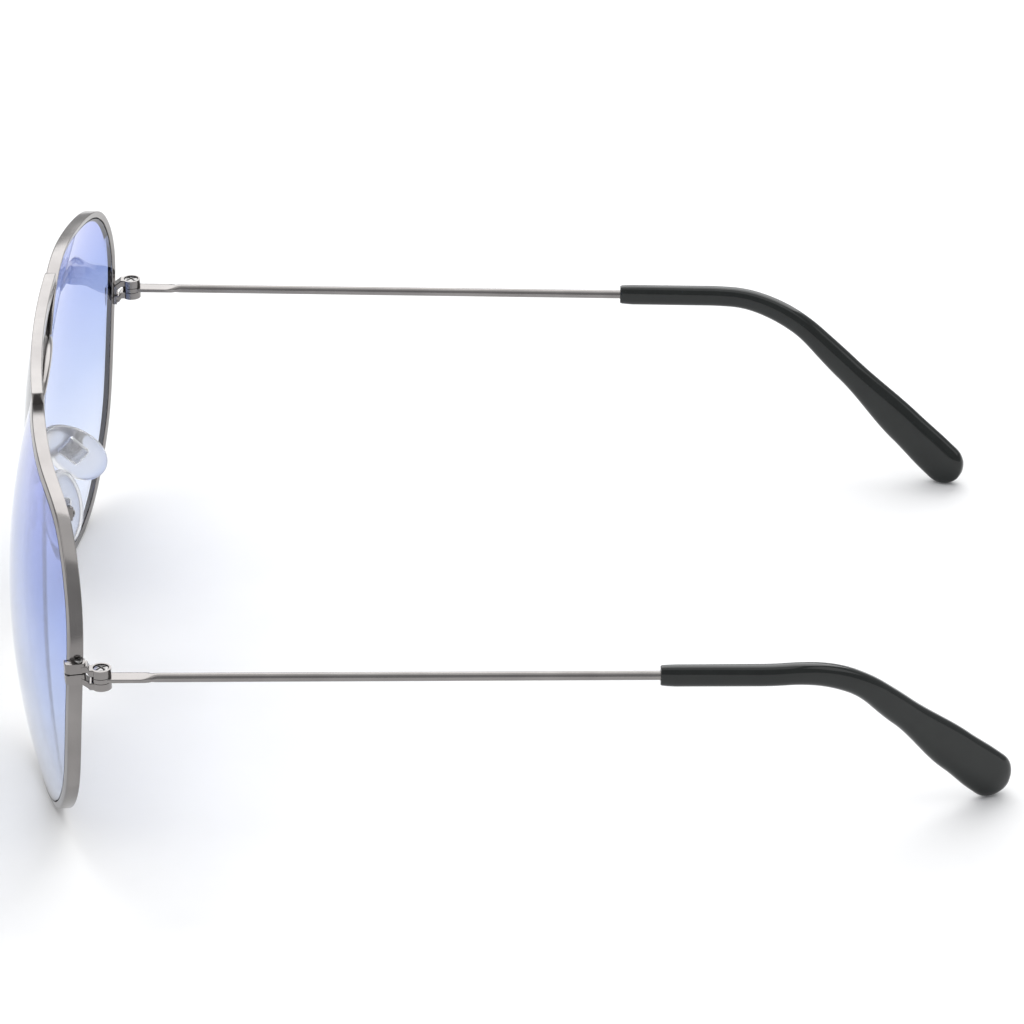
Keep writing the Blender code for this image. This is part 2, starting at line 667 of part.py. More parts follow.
def add_bridge(parent, material):
    """The lower bridge: a round-edged arch between the nasal sides of the rims."""
    foot = front_point(*outline_at(BRIDGE_SHARE, BRIDGE_SINK * RIM_OUT), 0.0, 1)
    path = []
    for angle in np.linspace(0, math.pi, 25):
        lift = math.sin(angle)
        rise = Vector((foot.x * math.cos(angle), foot.y - BRIDGE_BOW * lift, foot.z + BRIDGE_RISE * lift))
        path.append(rise)
    section = superellipse(BRIDGE_HEIGHT, BRIDGE_WIDTH, BRIDGE_POWER, 12)
    bridge = add_object("lower_bridge", tube(path, section, up=Vector((0, -1, 0))), material, parent)
    for side, sign in SIDES:
        combine(bridge, "DIFFERENCE", f"bridge_seat_{side}", rim_envelope(BRIDGE_SHARE, LONG_SEAT, sign))


# ---------------------------------------------------------------- nose pads


def pad_matrix(side, sign):
    """The pad's frame from its pivot: X along the screw, Y down the pad, Z towards the nose."""
    lean, splay = PAD_LEANS[side], PAD_SPLAYS[side]
    down = Vector((math.tan(PAD_SPREAD), math.sin(lean), -math.cos(lean))).normalized()
    to_nose = Vector((-math.cos(splay), math.sin(splay), 0.0))
    screw = down.cross(to_nose).normalized()
    to_nose = screw.cross(down)
    axes = [mirrored(axis, sign) for axis in (screw, down, to_nose)]
    return Matrix((
        (axes[0].x, axes[1].x, axes[2].x, 0),
        (axes[0].y, axes[1].y, axes[2].y, 0),
        (axes[0].z, axes[1].z, axes[2].z, 0),
        (0, 0, 0, 1),
    ))


def pad_outline(scale, count=26):
    """The pad's teardrop outline as (across, down), wider at its lower end."""
    points = []
    for i in range(count):
        angle = 2 * math.pi * i / count
        down = math.sin(angle)
        across = math.cos(angle) * (1 + PAD_FLARE * down)
        points.append((0.5 * PAD_WIDTH * across * scale, 0.5 * PAD_LENGTH * down * scale))
    return points


def add_nose_pad(side, sign, parent, silicone, core):
    """The pad, with a pocket in its back, and the insert that fills it and carries the lug."""
    matrix = pad_matrix(side, sign)
    back = 0.5 * BOX_DEEP + ROCK_GAP
    rings = []
    for scale, share in PAD_PROFILE:
        height = back + share * PAD_THICKNESS
        rings.append([matrix @ Vector((a, d, height)) for a, d in pad_outline(scale)])
    poles = [matrix @ Vector((0, 0, back + share * PAD_THICKNESS)) for share in (0.0, 1.0)]
    pad = add_object(f"nose_pad_{side}", domed(rings, *poles), silicone, parent)
    play = 2 * INSERT_FIT
    pocket = (INSERT_WIDTH + play, INSERT_LENGTH + play, 2 * INSERT_DEPTH + play)
    place = matrix @ Matrix.Translation((0, 0, back))
    hollow = box(pocket, place, corner=INSERT_CORNER + INSERT_FIT)
    combine(pad, "DIFFERENCE", f"nose_pad_pocket_{side}", hollow)

    base = matrix @ Matrix.Translation((0, 0, back + 0.5 * INSERT_DEPTH))
    name = f"pad_insert_{side}"
    plate = box((INSERT_WIDTH, INSERT_LENGTH, INSERT_DEPTH), base, corner=INSERT_CORNER)
    insert = add_object(name, plate, core, parent)
    lug_across = BOX_ACROSS - 2 * BOX_WALL - 2 * LUG_FIT
    lug_along = BOX_ALONG - 2 * BOX_WALL - 2 * ROCK_GAP
    low = -0.5 * BOX_DEEP + BOX_WALL + LUG_FIT
    high = back + 0.5 * INSERT_DEPTH
    lug_place = matrix @ Matrix.Translation((0, 0, 0.5 * (low + high)))
    lug = box((lug_across, lug_along, high - low), lug_place, corner=LUG_CORNER)
    combine(insert, "UNION", f"{name}_lug", lug)
    bore = PAD_SCREW_RADIUS + 0.5 * SCREW_FIT
    along_screw = matrix @ Matrix.Rotation(math.pi / 2, 4, "Y")
    profile = ((bore, -BOX_ACROSS), (bore, BOX_ACROSS))
    combine(insert, "DIFFERENCE", f"{name}_bore", turned(profile, along_screw, segments=12))


def add_pad_box(side, sign, parent, material):
    """The small open box at the arm's end, which holds the lug, and the screw through both."""
    matrix = Matrix.Translation(mirrored(PAD_PIVOTS[side], sign)) @ pad_matrix(side, sign)
    name = f"pad_box_{side}"
    outer = box((BOX_ACROSS, BOX_ALONG, BOX_DEEP), matrix, corner=BOX_CORNER)
    holder = add_object(name, outer, material, parent)
    inner = (BOX_ACROSS - 2 * BOX_WALL, BOX_ALONG - 2 * BOX_WALL, BOX_DEEP)
    floor = matrix @ Matrix.Translation((0, 0, BOX_WALL))
    combine(holder, "DIFFERENCE", f"{name}_inside", box(inner, floor))
    along_screw = matrix @ Matrix.Rotation(math.pi / 2, 4, "Y")
    bore = PAD_SCREW_RADIUS + SCREW_FIT
    profile = ((bore, -BOX_ACROSS), (bore, BOX_ACROSS))
    combine(holder, "DIFFERENCE", f"{name}_bore", turned(profile, along_screw, segments=12))
    top = along_screw @ Matrix.Translation((0, 0, 0.5 * BOX_ACROSS + SCREW_FIT + PAD_HEAD_HEIGHT))
    shank = (PAD_SCREW_RADIUS, BOX_ACROSS + SCREW_FIT)
    add_screw(f"pad_screw_{side}", top, parent, material, shank, (PAD_HEAD_RADIUS, PAD_HEAD_HEIGHT))


def add_pad_arm(side, sign, parent, material):
    """The bent wire from the back of the rim to the pad's box."""
    depth = 0.5 * RIM_WIDTH + BRAZE_GAP
    start = front_point(*outline_at(ARM_SHARES[side], ARM_SINK * RIM_OUT), depth, 1)
    pivot = PAD_PIVOTS[side]
    to_nose = pad_matrix(side, 1).to_3x3() @ Vector((0, 0, 1))
    end = pivot - to_nose * (0.5 * BOX_DEEP + BRAZE_GAP)
    loop = [pivot + Vector(point) * MM for point in ARM_LOOPS_MM[side]]
    lead_out = start + Vector((0.0, ARM_LEAD_OUT, 0.0))
    lead_in = end - to_nose * ARM_LEAD_IN
    points = smooth_curve([start, lead_out, *loop, lead_in, end], 20)
    path = [mirrored(point, sign) for point in points]
    circle = superellipse(ARM_DIAMETER, ARM_DIAMETER, 2.0, 10)
    rings = []
    for i, point in enumerate(path):
        along = (path[min(i + 1, len(path) - 1)] - path[max(i - 1, 0)]).normalized()
        across = along.cross(mirrored(ARM_ROLL, sign)).normalized()
        upward = across.cross(along)
        rings.append([point + across * a + upward * b for a, b in circle])
    arm = add_object(f"pad_arm_{side}", loft(rings), material, parent)
    combine(arm, "DIFFERENCE", f"pad_arm_seat_{side}", rim_envelope(ARM_SHARES[side], BLOCK_SEAT, sign))


# ---------------------------------------------------------------- temples


def add_temple(side, sign, parent, material):
    """The wire temple: an eye for the hinge, a flat strip, then round wire that ends as the tip's core."""
    eye = [(x - 0.5 * HINGE_SPAN, y) for x, y in knuckle_plan()]
    low, high = EYE_MIDDLE - 0.5 * EYE_HEIGHT, EYE_MIDDLE + 0.5 * EYE_HEIGHT
    temple = add_object(f"temple_{side}", prism(mirror_plan(eye, sign), low, high), material, parent)
    strip_height = EYE_HEIGHT - STRIP_STEP
    lengths = [STRIP_START, STRIP_END]
    blends = [0.0, 0.0]
    for share in (0.25, 0.5, 0.75, 1.0):
        lengths.append(STRIP_END + share * STRIP_BLEND)
        blends.append(share)
    bends = np.linspace(INWARD_START, BEND_START + BEND_LENGTH, 9)
    for s in (0.5 * (STRIP_END + INWARD_START), *bends, CORE_END):
        lengths.append(float(s))
        blends.append(1.0)
    sections = []
    for blend in blends:
        width = STRIP_WIDTH + blend * (WIRE_DIAMETER - STRIP_WIDTH)
        height = strip_height + blend * (WIRE_DIAMETER - strip_height)
        power = STRIP_POWER + blend * (2.0 - STRIP_POWER)
        sections.append(superellipse(width, height, power, 12))
    combine(temple, "UNION", f"temple_wire_{side}", loft(temple_rings(side, lengths, sections, sign)))
    bore = HINGE_SCREW_RADIUS + 0.5 * SCREW_FIT
    profile = ((bore, low - MM), (bore, high + MM))
    combine(temple, "DIFFERENCE", f"temple_eye_bore_{side}", turned(profile, Matrix.Identity(4)))


def add_temple_tip(side, sign, parent, material):
    """The plastic sleeve over the temple's end: a slim start that swells to a rounded paddle."""
    tip = add_object(f"temple_tip_{side}", loft(tip_rings(side, sign)), material, parent)
    bends = np.linspace(INWARD_START, BEND_START + BEND_LENGTH, 9)
    lengths = [TIP_START - MM, TIP_START + MM, *bends, CORE_END + CORE_FIT]
    hole = superellipse(WIRE_DIAMETER + 2 * CORE_FIT, WIRE_DIAMETER + 2 * CORE_FIT, 2.0, 12)
    bore = loft(temple_rings(side, [float(s) for s in lengths], [hole] * len(lengths), sign))
    combine(tip, "DIFFERENCE", f"temple_tip_bore_{side}", bore)


# ---------------------------------------------------------------- the whole


def main():
    for obj in list(bpy.data.objects):
        bpy.data.objects.remove(obj)
    metal = make_material("polished_metal", (0.62, 0.60, 0.56), 0.18, metallic=1.0)
    screw_metal = make_material("screw_steel", (0.55, 0.55, 0.56), 0.25, metallic=1.0)
    tinted = make_material("tinted_lens", (0.12, 0.20, 0.75), 0.05, alpha=0.45)
    dark_plastic = make_material("dark_tip", (0.01, 0.013, 0.012), 0.15)
    silicone = make_material("clear_silicone", (0.80, 0.82, 0.86), 0.2, alpha=0.4)
    insert_plastic = make_material("pad_core", (0.55, 0.55, 0.58), 0.35, metallic=0.6)

    stand = standing()
    front = add_empty("front_frame", stand)
    for side, sign in SIDES:
        add_eyewire(side, sign, front, metal)
        add_lens(side, sign, front, tinted)
        add_end_piece(side, sign, front, metal, upper=True)
        add_end_piece(side, sign, front, metal, upper=False)
        add_front_screws(side, sign, front, screw_metal)
        add_pad_arm(side, sign, front, metal)
        add_pad_box(side, sign, front, metal)
        pivot = Matrix.Translation(mirrored(PAD_PIVOTS[side], sign))
        pad_pivot = add_empty(f"pad_pivot_{side}", stand @ pivot)
        add_nose_pad(side, sign, pad_pivot, silicone, insert_plastic)
        hinge = add_empty(f"hinge_axis_{side}", stand @ Matrix.Translation((sign * 0.5 * HINGE_SPAN, 0, 0)))
        add_temple(side, sign, hinge, metal)
        add_temple_tip(side, sign, hinge, dark_plastic)
    add_brow_bar(front, metal)
    add_bridge(front, metal)


main()
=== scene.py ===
"""The looks of the aviator sunglasses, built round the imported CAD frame.

The lenses face -Y, the temples run towards +Y, +Z is up, and the wearer's left is +X. As in the CAD, every
position is first worked out in the hinge frame: X = 0 between the lenses, Y = 0 on the hinge axes, Z = 0
just under the temples' eyes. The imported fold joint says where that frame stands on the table.
"""

import json
import math

import bmesh
import bpy
import numpy as np
from mathutils import Matrix, Vector


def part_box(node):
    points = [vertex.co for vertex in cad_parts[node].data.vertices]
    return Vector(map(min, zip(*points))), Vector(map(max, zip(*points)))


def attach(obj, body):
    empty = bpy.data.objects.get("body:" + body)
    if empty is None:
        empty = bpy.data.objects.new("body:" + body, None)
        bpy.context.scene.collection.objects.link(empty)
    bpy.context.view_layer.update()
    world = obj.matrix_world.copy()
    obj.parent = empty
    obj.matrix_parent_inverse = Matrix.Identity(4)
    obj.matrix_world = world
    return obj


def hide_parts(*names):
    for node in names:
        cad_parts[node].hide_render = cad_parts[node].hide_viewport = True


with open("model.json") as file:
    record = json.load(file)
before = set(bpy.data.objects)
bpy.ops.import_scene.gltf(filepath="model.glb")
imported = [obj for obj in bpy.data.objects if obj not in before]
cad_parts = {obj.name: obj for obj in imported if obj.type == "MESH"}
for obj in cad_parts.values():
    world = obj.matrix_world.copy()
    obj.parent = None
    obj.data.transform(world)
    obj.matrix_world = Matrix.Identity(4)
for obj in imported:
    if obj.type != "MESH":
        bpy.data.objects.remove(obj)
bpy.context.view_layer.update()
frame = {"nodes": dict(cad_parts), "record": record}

MM = 0.001
SIDES = (("left", 1), ("right", -1))

# Lens and eyewire, as in the CAD
LENS_CENTRE = Vector((34.7, -12.95, -5.5)) * MM
LENS_RADIUS = 95.0 * MM
LENS_THICKNESS = 1.8 * MM
WRAP = math.radians(8.5)
FRONT_TILT = math.radians(1.0)
LENS_OUTLINE_MM = (
    (28.9, 0.3), (27.5, 14.0), (19.2, 23.2), (4.5, 26.1), (-12.0, 26.2), (-23.8, 21.7), (-28.0, 11.8),
    (-27.6, 1.2), (-23.6, -8.9), (-14.0, -18.6), (-1.0, -24.1), (13.3, -22.7), (24.5, -13.7),
)
RIM_WIDTH = 1.9 * MM
RIM_OUT = 0.9 * MM
RIM_IN = 0.1 * MM
RIM_CORNER = 0.2 * MM
GROOVE_DEPTH = 0.5 * MM
GROOVE_LIP = 0.15 * MM
LENS_FIT = 0.18 * MM
LENS_EDGE = 0.12 * MM

# Closing block and hinge. The left block is brazed on a little higher than the right one.
KNUCKLE_RADIUS = 1.4 * MM
HINGE_TOP = 2.0 * MM
HINGE_BOTTOM = -1.05 * MM
EYE_HEIGHT = 0.64 * MM
EYE_MIDDLE = 0.4 * MM
EYE_PLAY = 0.08 * MM
BLOCK_LEVELS = {"left": 1.45 * MM, "right": -0.5 * MM}
BLOCK_HEIGHT = 3.1 * MM
BLOCK_IN = 0.5 * MM
BLOCK_OUT = 2.3 * MM
BLOCK_DEPTH = 2.9 * MM
BLOCK_BACK = -0.4 * MM
BLOCK_CORNER = 0.6 * MM
ARM_WIDTH = 1.9 * MM
ARM_THICKNESS = 1.05 * MM
ARM_END = -1.0 * MM
ARM_LEVELLING = 0.2 * MM
ARM_CLEAR = 0.2 * MM
SPLIT = 0.16 * MM
SCREW_FIT = 0.08 * MM
HINGE_SCREW_RADIUS = 0.5 * MM
HINGE_HEAD_RADIUS = 1.05 * MM
HINGE_HEAD_HEIGHT = 0.4 * MM
RIM_SCREW_RADIUS = 0.32 * MM
RIM_SCREW_OUT = 1.55 * MM
RIM_SCREW_BACK = 0.5 * MM

# Temples. The wearer's right one is bent a little less at the ear and further inwards.
TEMPLE_LENGTHS = {"left": 137.3 * MM, "right": 140.2 * MM}
TEMPLE_SPLAY = math.radians(1.0)
TEMPLE_TILT = math.radians(1.7)
BEND_START = 94.0 * MM
BEND_LENGTH = 15.0 * MM
BEND_ANGLES = {"left": math.radians(43.0), "right": math.radians(39.6)}
INWARD_START = 90.0 * MM
INWARD_LENGTH = 8.0 * MM
INWARD_ANGLES = {"left": math.radians(16.0), "right": math.radians(18.5)}
WIRE_DIAMETER = 1.3 * MM
STRIP_WIDTH = 2.3 * MM
STRIP_STEP = 0.04 * MM
STRIP_START = 0.75 * MM
STRIP_END = 5.2 * MM
STRIP_BLEND = 2.6 * MM
STRIP_POWER = 7.0
TIP_START = 76.5 * MM
CORE_END = 123.0 * MM
CORE_FIT = 0.12 * MM
TIP_HEIGHTS = ((0.0, 2.9), (0.03, 3.1), (0.28, 3.1), (0.45, 3.4), (0.62, 4.3), (0.82, 6.3), (0.92, 6.8))
TIP_WIDTHS = ((0.0, 2.1), (0.03, 2.3), (0.3, 2.5), (0.6, 2.9), (0.9, 3.0))
TIP_ROUND = 3.3 * MM
TIP_CHAMFER = 0.35 * MM
TIP_DROP = 0.16
TIP_POWER = 2.5
TIP_BLUNT = 0.35

# Brow bar and lower bridge
BAR_REACH = 20.6 * MM
BAR_WIDTH = 1.65 * MM
BAR_HEIGHT = 1.9 * MM
BAR_SEAT = 0.1 * MM
BAR_BOW = 0.85 * MM
BAR_CORNER = 0.14 * MM
BRIDGE_LEVEL = 22.0 * MM
BRIDGE_RISE = 2.8 * MM
BRIDGE_BOW = -1.0 * MM
BRIDGE_WIDTH = 1.4 * MM
BRIDGE_HEIGHT = 1.3 * MM
BRIDGE_SINK = 0.8
BRIDGE_POWER = 3.0

# Nose pads
PAD_PIVOTS = {"left": Vector((10.3, -7.5, -1.4)) * MM, "right": Vector((10.3, -7.3, -0.4)) * MM}
PAD_LENGTH = 12.2 * MM
PAD_WIDTH = 7.2 * MM
PAD_THICKNESS = 2.3 * MM
PAD_FLARE = 0.12
PAD_SPREAD = math.radians(14.0)
PAD_LEANS = {"left": math.radians(-4.0), "right": math.radians(42.0)}
PAD_SPLAYS = {"left": math.radians(-20.0), "right": math.radians(8.0)}
BOX_ACROSS = 2.4 * MM
BOX_ALONG = 2.1 * MM
BOX_DEEP = 1.6 * MM
BOX_WALL = 0.4 * MM
LUG_FIT = 0.12 * MM
ROCK_GAP = 0.28 * MM
INSERT_LENGTH = 3.8 * MM
INSERT_WIDTH = 2.8 * MM
INSERT_DEPTH = 0.8 * MM
INSERT_FIT = 0.1 * MM
ARM_DIAMETER = 0.85 * MM
ARM_SINK = 0.45
ARM_LEAD_OUT = 0.5 * MM
ARM_LEAD_IN = 0.6 * MM
ARM_ROLL = Vector((0.31, 0.2, 0.93))
ARM_LEVELS = {"left": 8.6 * MM, "right": 3.0 * MM}
ARM_LOOPS_MM = {
    "left": ((-1.8, -3.6, 4.7), (0.2, -2.9, 4.0), (2.0, -1.4, 2.4), (2.3, -0.1, 0.8)),
    "right": (
        (-3.2, -4.0, -2.7), (-1.2, -3.8, -2.8), (1.2, -2.8, -2.1), (2.4, -1.2, -0.9), (2.2, -0.35, -0.05),
    ),
}

# What only the looks need
EDGE_SOFT = 0.13 * MM
INNER_SOFT = 0.06 * MM
GROOVE_FLOOR = 0.05 * MM
HEAD_DOME = 0.14 * MM
SLOT_SPAN = 1.62
SLOT_WIDTH = 0.3 * MM
SLOT_DEEP = 0.5 * MM
SLOT_SOFT = 0.04 * MM
PLATE_SOFT = 0.35 * MM
LUG_SOFT = 0.1 * MM
POCKET_SOFT = 0.5 * MM
BAR_SOLDER = Vector((1.5, 0.85, 0.3)) * MM
BRIDGE_SOLDER = Vector((0.9, 0.85, 0.9)) * MM
ARM_SOLDER = Vector((0.6, 0.32, 0.8)) * MM
SEAT_REACH = 0.03
LONG_REACH = 0.05
SLOT_ANGLES = (40, 130)

# The camera, in the hinge frame
CAMERA_TARGET = Vector((0.0, 57.735, -7.975)) * MM
CAMERA_DISTANCE = 841.8 * MM
CAMERA_AZIMUTH = math.radians(-1.263)
CAMERA_ELEVATION = math.radians(26.833)
CAMERA_ROLL = math.radians(-0.665)
CAMERA_LENS_MM = 200.82


def standing():
    """The hinge frame's place in the row frame, from the left temple's fold joint."""
    joint = next(j for j in frame["record"]["behaviour"]["joints"] if j["name"] == "temple_left_fold")
    pivot, axis = Vector(joint["pos_m"]), Vector(joint["axis"])
    lean = Matrix.Rotation(-math.atan2(axis.y, axis.z), 4, "X")
    return Matrix.Translation(pivot - lean @ Vector((pivot.x, 0, EYE_MIDDLE))) @ lean, pivot.x


STAND, HINGE_X = standing()


# ---------------------------------------------------------------- meshes


def piece(name, source, material, body, replaces=(), sharp=32.0):
    """A piece from a bmesh in the hinge frame. It rides on a body and may stand for CAD nodes."""
    mesh = bpy.data.meshes.new(name)
    bmesh.ops.recalc_face_normals(source, faces=source.faces)
    source.transform(STAND)
    source.to_mesh(mesh)
    source.free()
    mesh.shade_smooth()
    mesh.set_sharp_from_angle(angle=math.radians(sharp))
    mesh.materials.append(material)
    obj = bpy.data.objects.new(name, mesh)
    bpy.context.scene.collection.objects.link(obj)
    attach(obj, body)
    if replaces:
        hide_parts(*replaces)
    return obj


def carved(source, *steps):
    """A bmesh after Booleans with other bmeshes, given as (operation, bmesh) steps."""
    scene = bpy.context.scene.collection

    def temporary(bm):
        mesh = bpy.data.meshes.new("carving")
        bmesh.ops.recalc_face_normals(bm, faces=bm.faces)
        bm.to_mesh(mesh)
        bm.free()
        obj = bpy.data.objects.new("carving", mesh)
        scene.objects.link(obj)
        return obj

    target = temporary(source)
    tools = []
    for operation, tool in steps:
        tools.append(temporary(tool))
        modifier = target.modifiers.new(operation, "BOOLEAN")
        modifier.operation = operation
        modifier.solver = "EXACT"
        modifier.object = tools[-1]
    bpy.context.view_layer.update()
    graph = bpy.context.evaluated_depsgraph_get()
    result = bmesh.new()
    result.from_mesh(target.evaluated_get(graph).to_mesh())
    for obj in (target, *tools):
        bpy.data.objects.remove(obj)
    return result


def loft(rings, closed=False, poles=None):
    """A surface through rings of points: joined end to end, closed by a fan to each pole, or capped."""
    solid = bmesh.new()
    rows = [[solid.verts.new(point) for point in ring] for ring in rings]
    following = rows[1:] + rows[:1] if closed else rows[1:]
    for here, there in zip(rows, following):
        for i in range(len(here)):
            j = (i + 1) % len(here)
            solid.faces.new((here[i], here[j], there[j], there[i]))
    if poles:
        for pole, row in zip(poles, (rows[0], rows[-1])):
            tip = solid.verts.new(pole)
            for i in range(len(row)):
                solid.faces.new((tip, row[i], row[(i + 1) % len(row)]))
    elif not closed:
        solid.faces.new(rows[0])
        solid.faces.new(rows[-1])
    return solid


def prism(outline, low, high, soft=0.0):
    """An upright solid on a plan outline of (x, y), with its rims rounded by soft."""
    solid = loft([[Vector((x, y, z)) for x, y in outline] for z in (low, high)])
    if soft:
        rims = [edge for edge in solid.edges if abs(edge.verts[0].co.z - edge.verts[1].co.z) < 1e-9]
        bmesh.ops.bevel(solid, geom=rims, offset=soft, segments=3, profile=0.5, affect="EDGES")
    return solid


def turned(profile, matrix, segments=48):
    """A solid of revolution about the local Z axis, from (radius, height) pairs, placed by a matrix."""
    rings = []
    for radius, height in profile:
        ring = []
        for i in range(segments):
            angle = 2 * math.pi * i / segments
            ring.append(matrix @ Vector((radius * math.cos(angle), radius * math.sin(angle), height)))
        rings.append(ring)
    return loft(rings)


def box(size, matrix, corner=0.0, segments=3):
    solid = bmesh.new()
    bmesh.ops.create_cube(solid, size=1.0)
    bmesh.ops.scale(solid, vec=size, verts=solid.verts)
    if corner:
        edges = solid.edges[:]
        bmesh.ops.bevel(solid, geom=edges, offset=corner, segments=segments, profile=0.5, affect="EDGES")
    bmesh.ops.transform(solid, matrix=matrix, verts=solid.verts)
    return solid


def superellipse(width, height, power, count):
    """Points of a rounded section as (across, up)."""
    points = []
    for i in range(count):
        angle = 2 * math.pi * (i + 0.5) / count
        c, s = math.cos(angle), math.sin(angle)
        points.append((
            0.5 * width * math.copysign(abs(c) ** (2 / power), c),
            0.5 * height * math.copysign(abs(s) ** (2 / power), s),
        ))
    return points


def smooth_curve(points, count, closed=False):
    """Points at even lengths along a Catmull-Rom curve through the given ones, as an array."""
    points = np.array(points, float)
    if closed:
        padded = np.vstack([points[-1], points, points[:2]])
    else:
        padded = np.vstack([2 * points[0] - points[1], points, 2 * points[-1] - points[-2]])
    dense = []
    for p0, p1, p2, p3 in zip(padded, padded[1:], padded[2:], padded[3:]):
        knots = np.cumsum([0.0] + [np.linalg.norm(b - a) ** 0.5 for a, b in ((p0, p1), (p1, p2), (p2, p3))])
        for t in np.linspace(knots[1], knots[2], 96, endpoint=False):
            a1 = p0 + (p1 - p0) * (t - knots[0]) / (knots[1] - knots[0])
            a2 = p1 + (p2 - p1) * (t - knots[1]) / (knots[2] - knots[1])
            a3 = p2 + (p3 - p2) * (t - knots[2]) / (knots[3] - knots[2])
            b1 = a1 + (a2 - a1) * (t - knots[0]) / (knots[2] - knots[0])
            b2 = a2 + (a3 - a2) * (t - knots[1]) / (knots[3] - knots[1])
            dense.append(b1 + (b2 - b1) * (t - knots[1]) / (knots[2] - knots[1]))
    dense.append(points[0] if closed else points[-1])
    dense = np.array(dense)
    length = np.concatenate([[0.0], np.cumsum(np.linalg.norm(np.diff(dense, axis=0), axis=1))])
    wanted = np.linspace(0.0, length[-1], count, endpoint=not closed)
    return np.stack([np.interp(wanted, length, dense[:, k]) for k in range(dense.shape[1])], axis=1)


def tube(path, section, up=Vector((0, 0, 1))):
    """Rings that carry a section of (across, up) points along a path."""
    rings = []
    for i, point in enumerate(path):
        along = (path[min(i + 1, len(path) - 1)] - path[max(i - 1, 0)]).normalized()
        across = along.cross(up).normalized()
        upward = across.cross(along)
        rings.append([point + across * a + upward * b for a, b in section])
    return rings


def blob(centre, radii, turn=Matrix.Identity(3)):
    """A squashed ball, for the meniscus of solder at a joint."""
    solid = bmesh.new()
    bmesh.ops.create_uvsphere(solid, u_segments=28, v_segments=18, radius=1.0)
    place = Matrix.Translation(centre) @ turn.to_4x4() @ Matrix.Diagonal((*radii, 1.0))
    bmesh.ops.transform(solid, matrix=place, verts=solid.verts)
    return solid


# ---------------------------------------------------------------- the front's geometry


def mirrored(point, sign):
    return Vector((sign * point[0], point[1], point[2]))


def front_point(across, up, depth, sign):
    """A point of the front: across and up in the lens's plane, and depth behind its middle surface."""
    sag = LENS_RADIUS - math.sqrt(LENS_RADIUS**2 - across**2 - up**2)
    turn = Matrix.Rotation(-FRONT_TILT, 3, "X") @ Matrix.Rotation(WRAP, 3, "Z")
    return mirrored(LENS_CENTRE + turn @ Vector((across, sag + depth, up)), sign)


OUTLINE_SAMPLES = 1440
EASE = 20
OUTLINE = smooth_curve(np.array(LENS_OUTLINE_MM) * MM, OUTLINE_SAMPLES, closed=True)
OUTLINE = np.mean([np.roll(OUTLINE, k, axis=0) for k in range(-EASE, EASE + 1)], axis=0)


def outline_at(share, offset=0.0):
    """(across, up) at a share of the lens outline's length from its temporal side, moved out by offset."""
    place = share % 1.0 * OUTLINE_SAMPLES
    i, rest = int(place), place % 1.0
    here = OUTLINE[i % OUTLINE_SAMPLES] * (1 - rest) + OUTLINE[(i + 1) % OUTLINE_SAMPLES] * rest
    step = OUTLINE[(i + 9) % OUTLINE_SAMPLES] - OUTLINE[i - 8]
    return here + offset * np.array([step[1], -step[0]]) / np.linalg.norm(step)


def share_where(test):
    """The share of the outline's length where test is lowest."""
    return int(np.argmin([test(*point) for point in OUTLINE])) / OUTLINE_SAMPLES


OUTLINE_STEPS = np.diff(np.vstack([OUTLINE, OUTLINE[:1]]), axis=0)
OUTLINE_LENGTH = float(np.linalg.norm(OUTLINE_STEPS, axis=1).sum())
BLOCK_SHARES = {
    side: share_where(lambda across, up: abs(LENS_CENTRE.z + up - level) - 1e-3 * across / MM)
    for side, level in BLOCK_LEVELS.items()
}
BAR_SHARE = share_where(lambda across, up: abs(LENS_CENTRE.x + across - BAR_REACH) - 1e-3 * up / MM)
BRIDGE_SHARE = share_where(lambda across, up: abs(up - BRIDGE_LEVEL) + 1e-3 * across / MM)
ARM_SHARES = {
    side: share_where(lambda across, up: abs(up - level) + 1e-3 * across / MM)
    for side, level in ARM_LEVELS.items()
}


def rim_section():
    """The eyewire's section as (out, depth): a band with rounded outer corners and a V groove inside."""
    half = 0.5 * RIM_WIDTH
    corner_out = RIM_OUT - RIM_CORNER
    points = []
    for depth, start in ((half - RIM_CORNER, 90), (RIM_CORNER - half, 0)):
        for angle in np.linspace(start, start - 90, 6):
            turn = math.radians(angle)
            points.append((corner_out + RIM_CORNER * math.cos(turn), depth + RIM_CORNER * math.sin(turn)))
    bottom = RIM_OUT - GROOVE_DEPTH
    inner = [
        (INNER_SOFT - RIM_IN, -half), (-RIM_IN, INNER_SOFT - half), (-RIM_IN, GROOVE_LIP - half),
        (bottom, -GROOVE_FLOOR),
    ]
    return points + inner + [(out, -depth) for out, depth in reversed(inner)]


def rim_envelope(middle, reach):
    """A stretch of the rim's plain outer shape on the wearer's left, to cut what is brazed onto it."""
    half = 0.5 * RIM_WIDTH
    section = [(-RIM_IN, half), (RIM_OUT, half), (RIM_OUT, -half), (-RIM_IN, -half)]
    return np.linspace(middle - reach, middle + reach, 33), section


def rim_rings(shares, section, sign):
    rings = []
    for share in shares:
        rings.append([front_point(*outline_at(share, out), depth, sign) for out, depth in section])
    return rings


def add_rim(side, sign, metal):
    """The eyewire, whose two ends meet inside the closing block."""
    stations = 420
    half_gap = 0.5 * SPLIT / OUTLINE_LENGTH
    first = BLOCK_SHARES[side] + half_gap
    shares = [first + (1 - 2 * half_gap) * i / stations for i in range(stations + 1)]
    rim = loft(rim_rings(shares, rim_section(), sign))
    piece(f"rim_{side}", rim, metal, "front", [f"eyewire_{side}"])


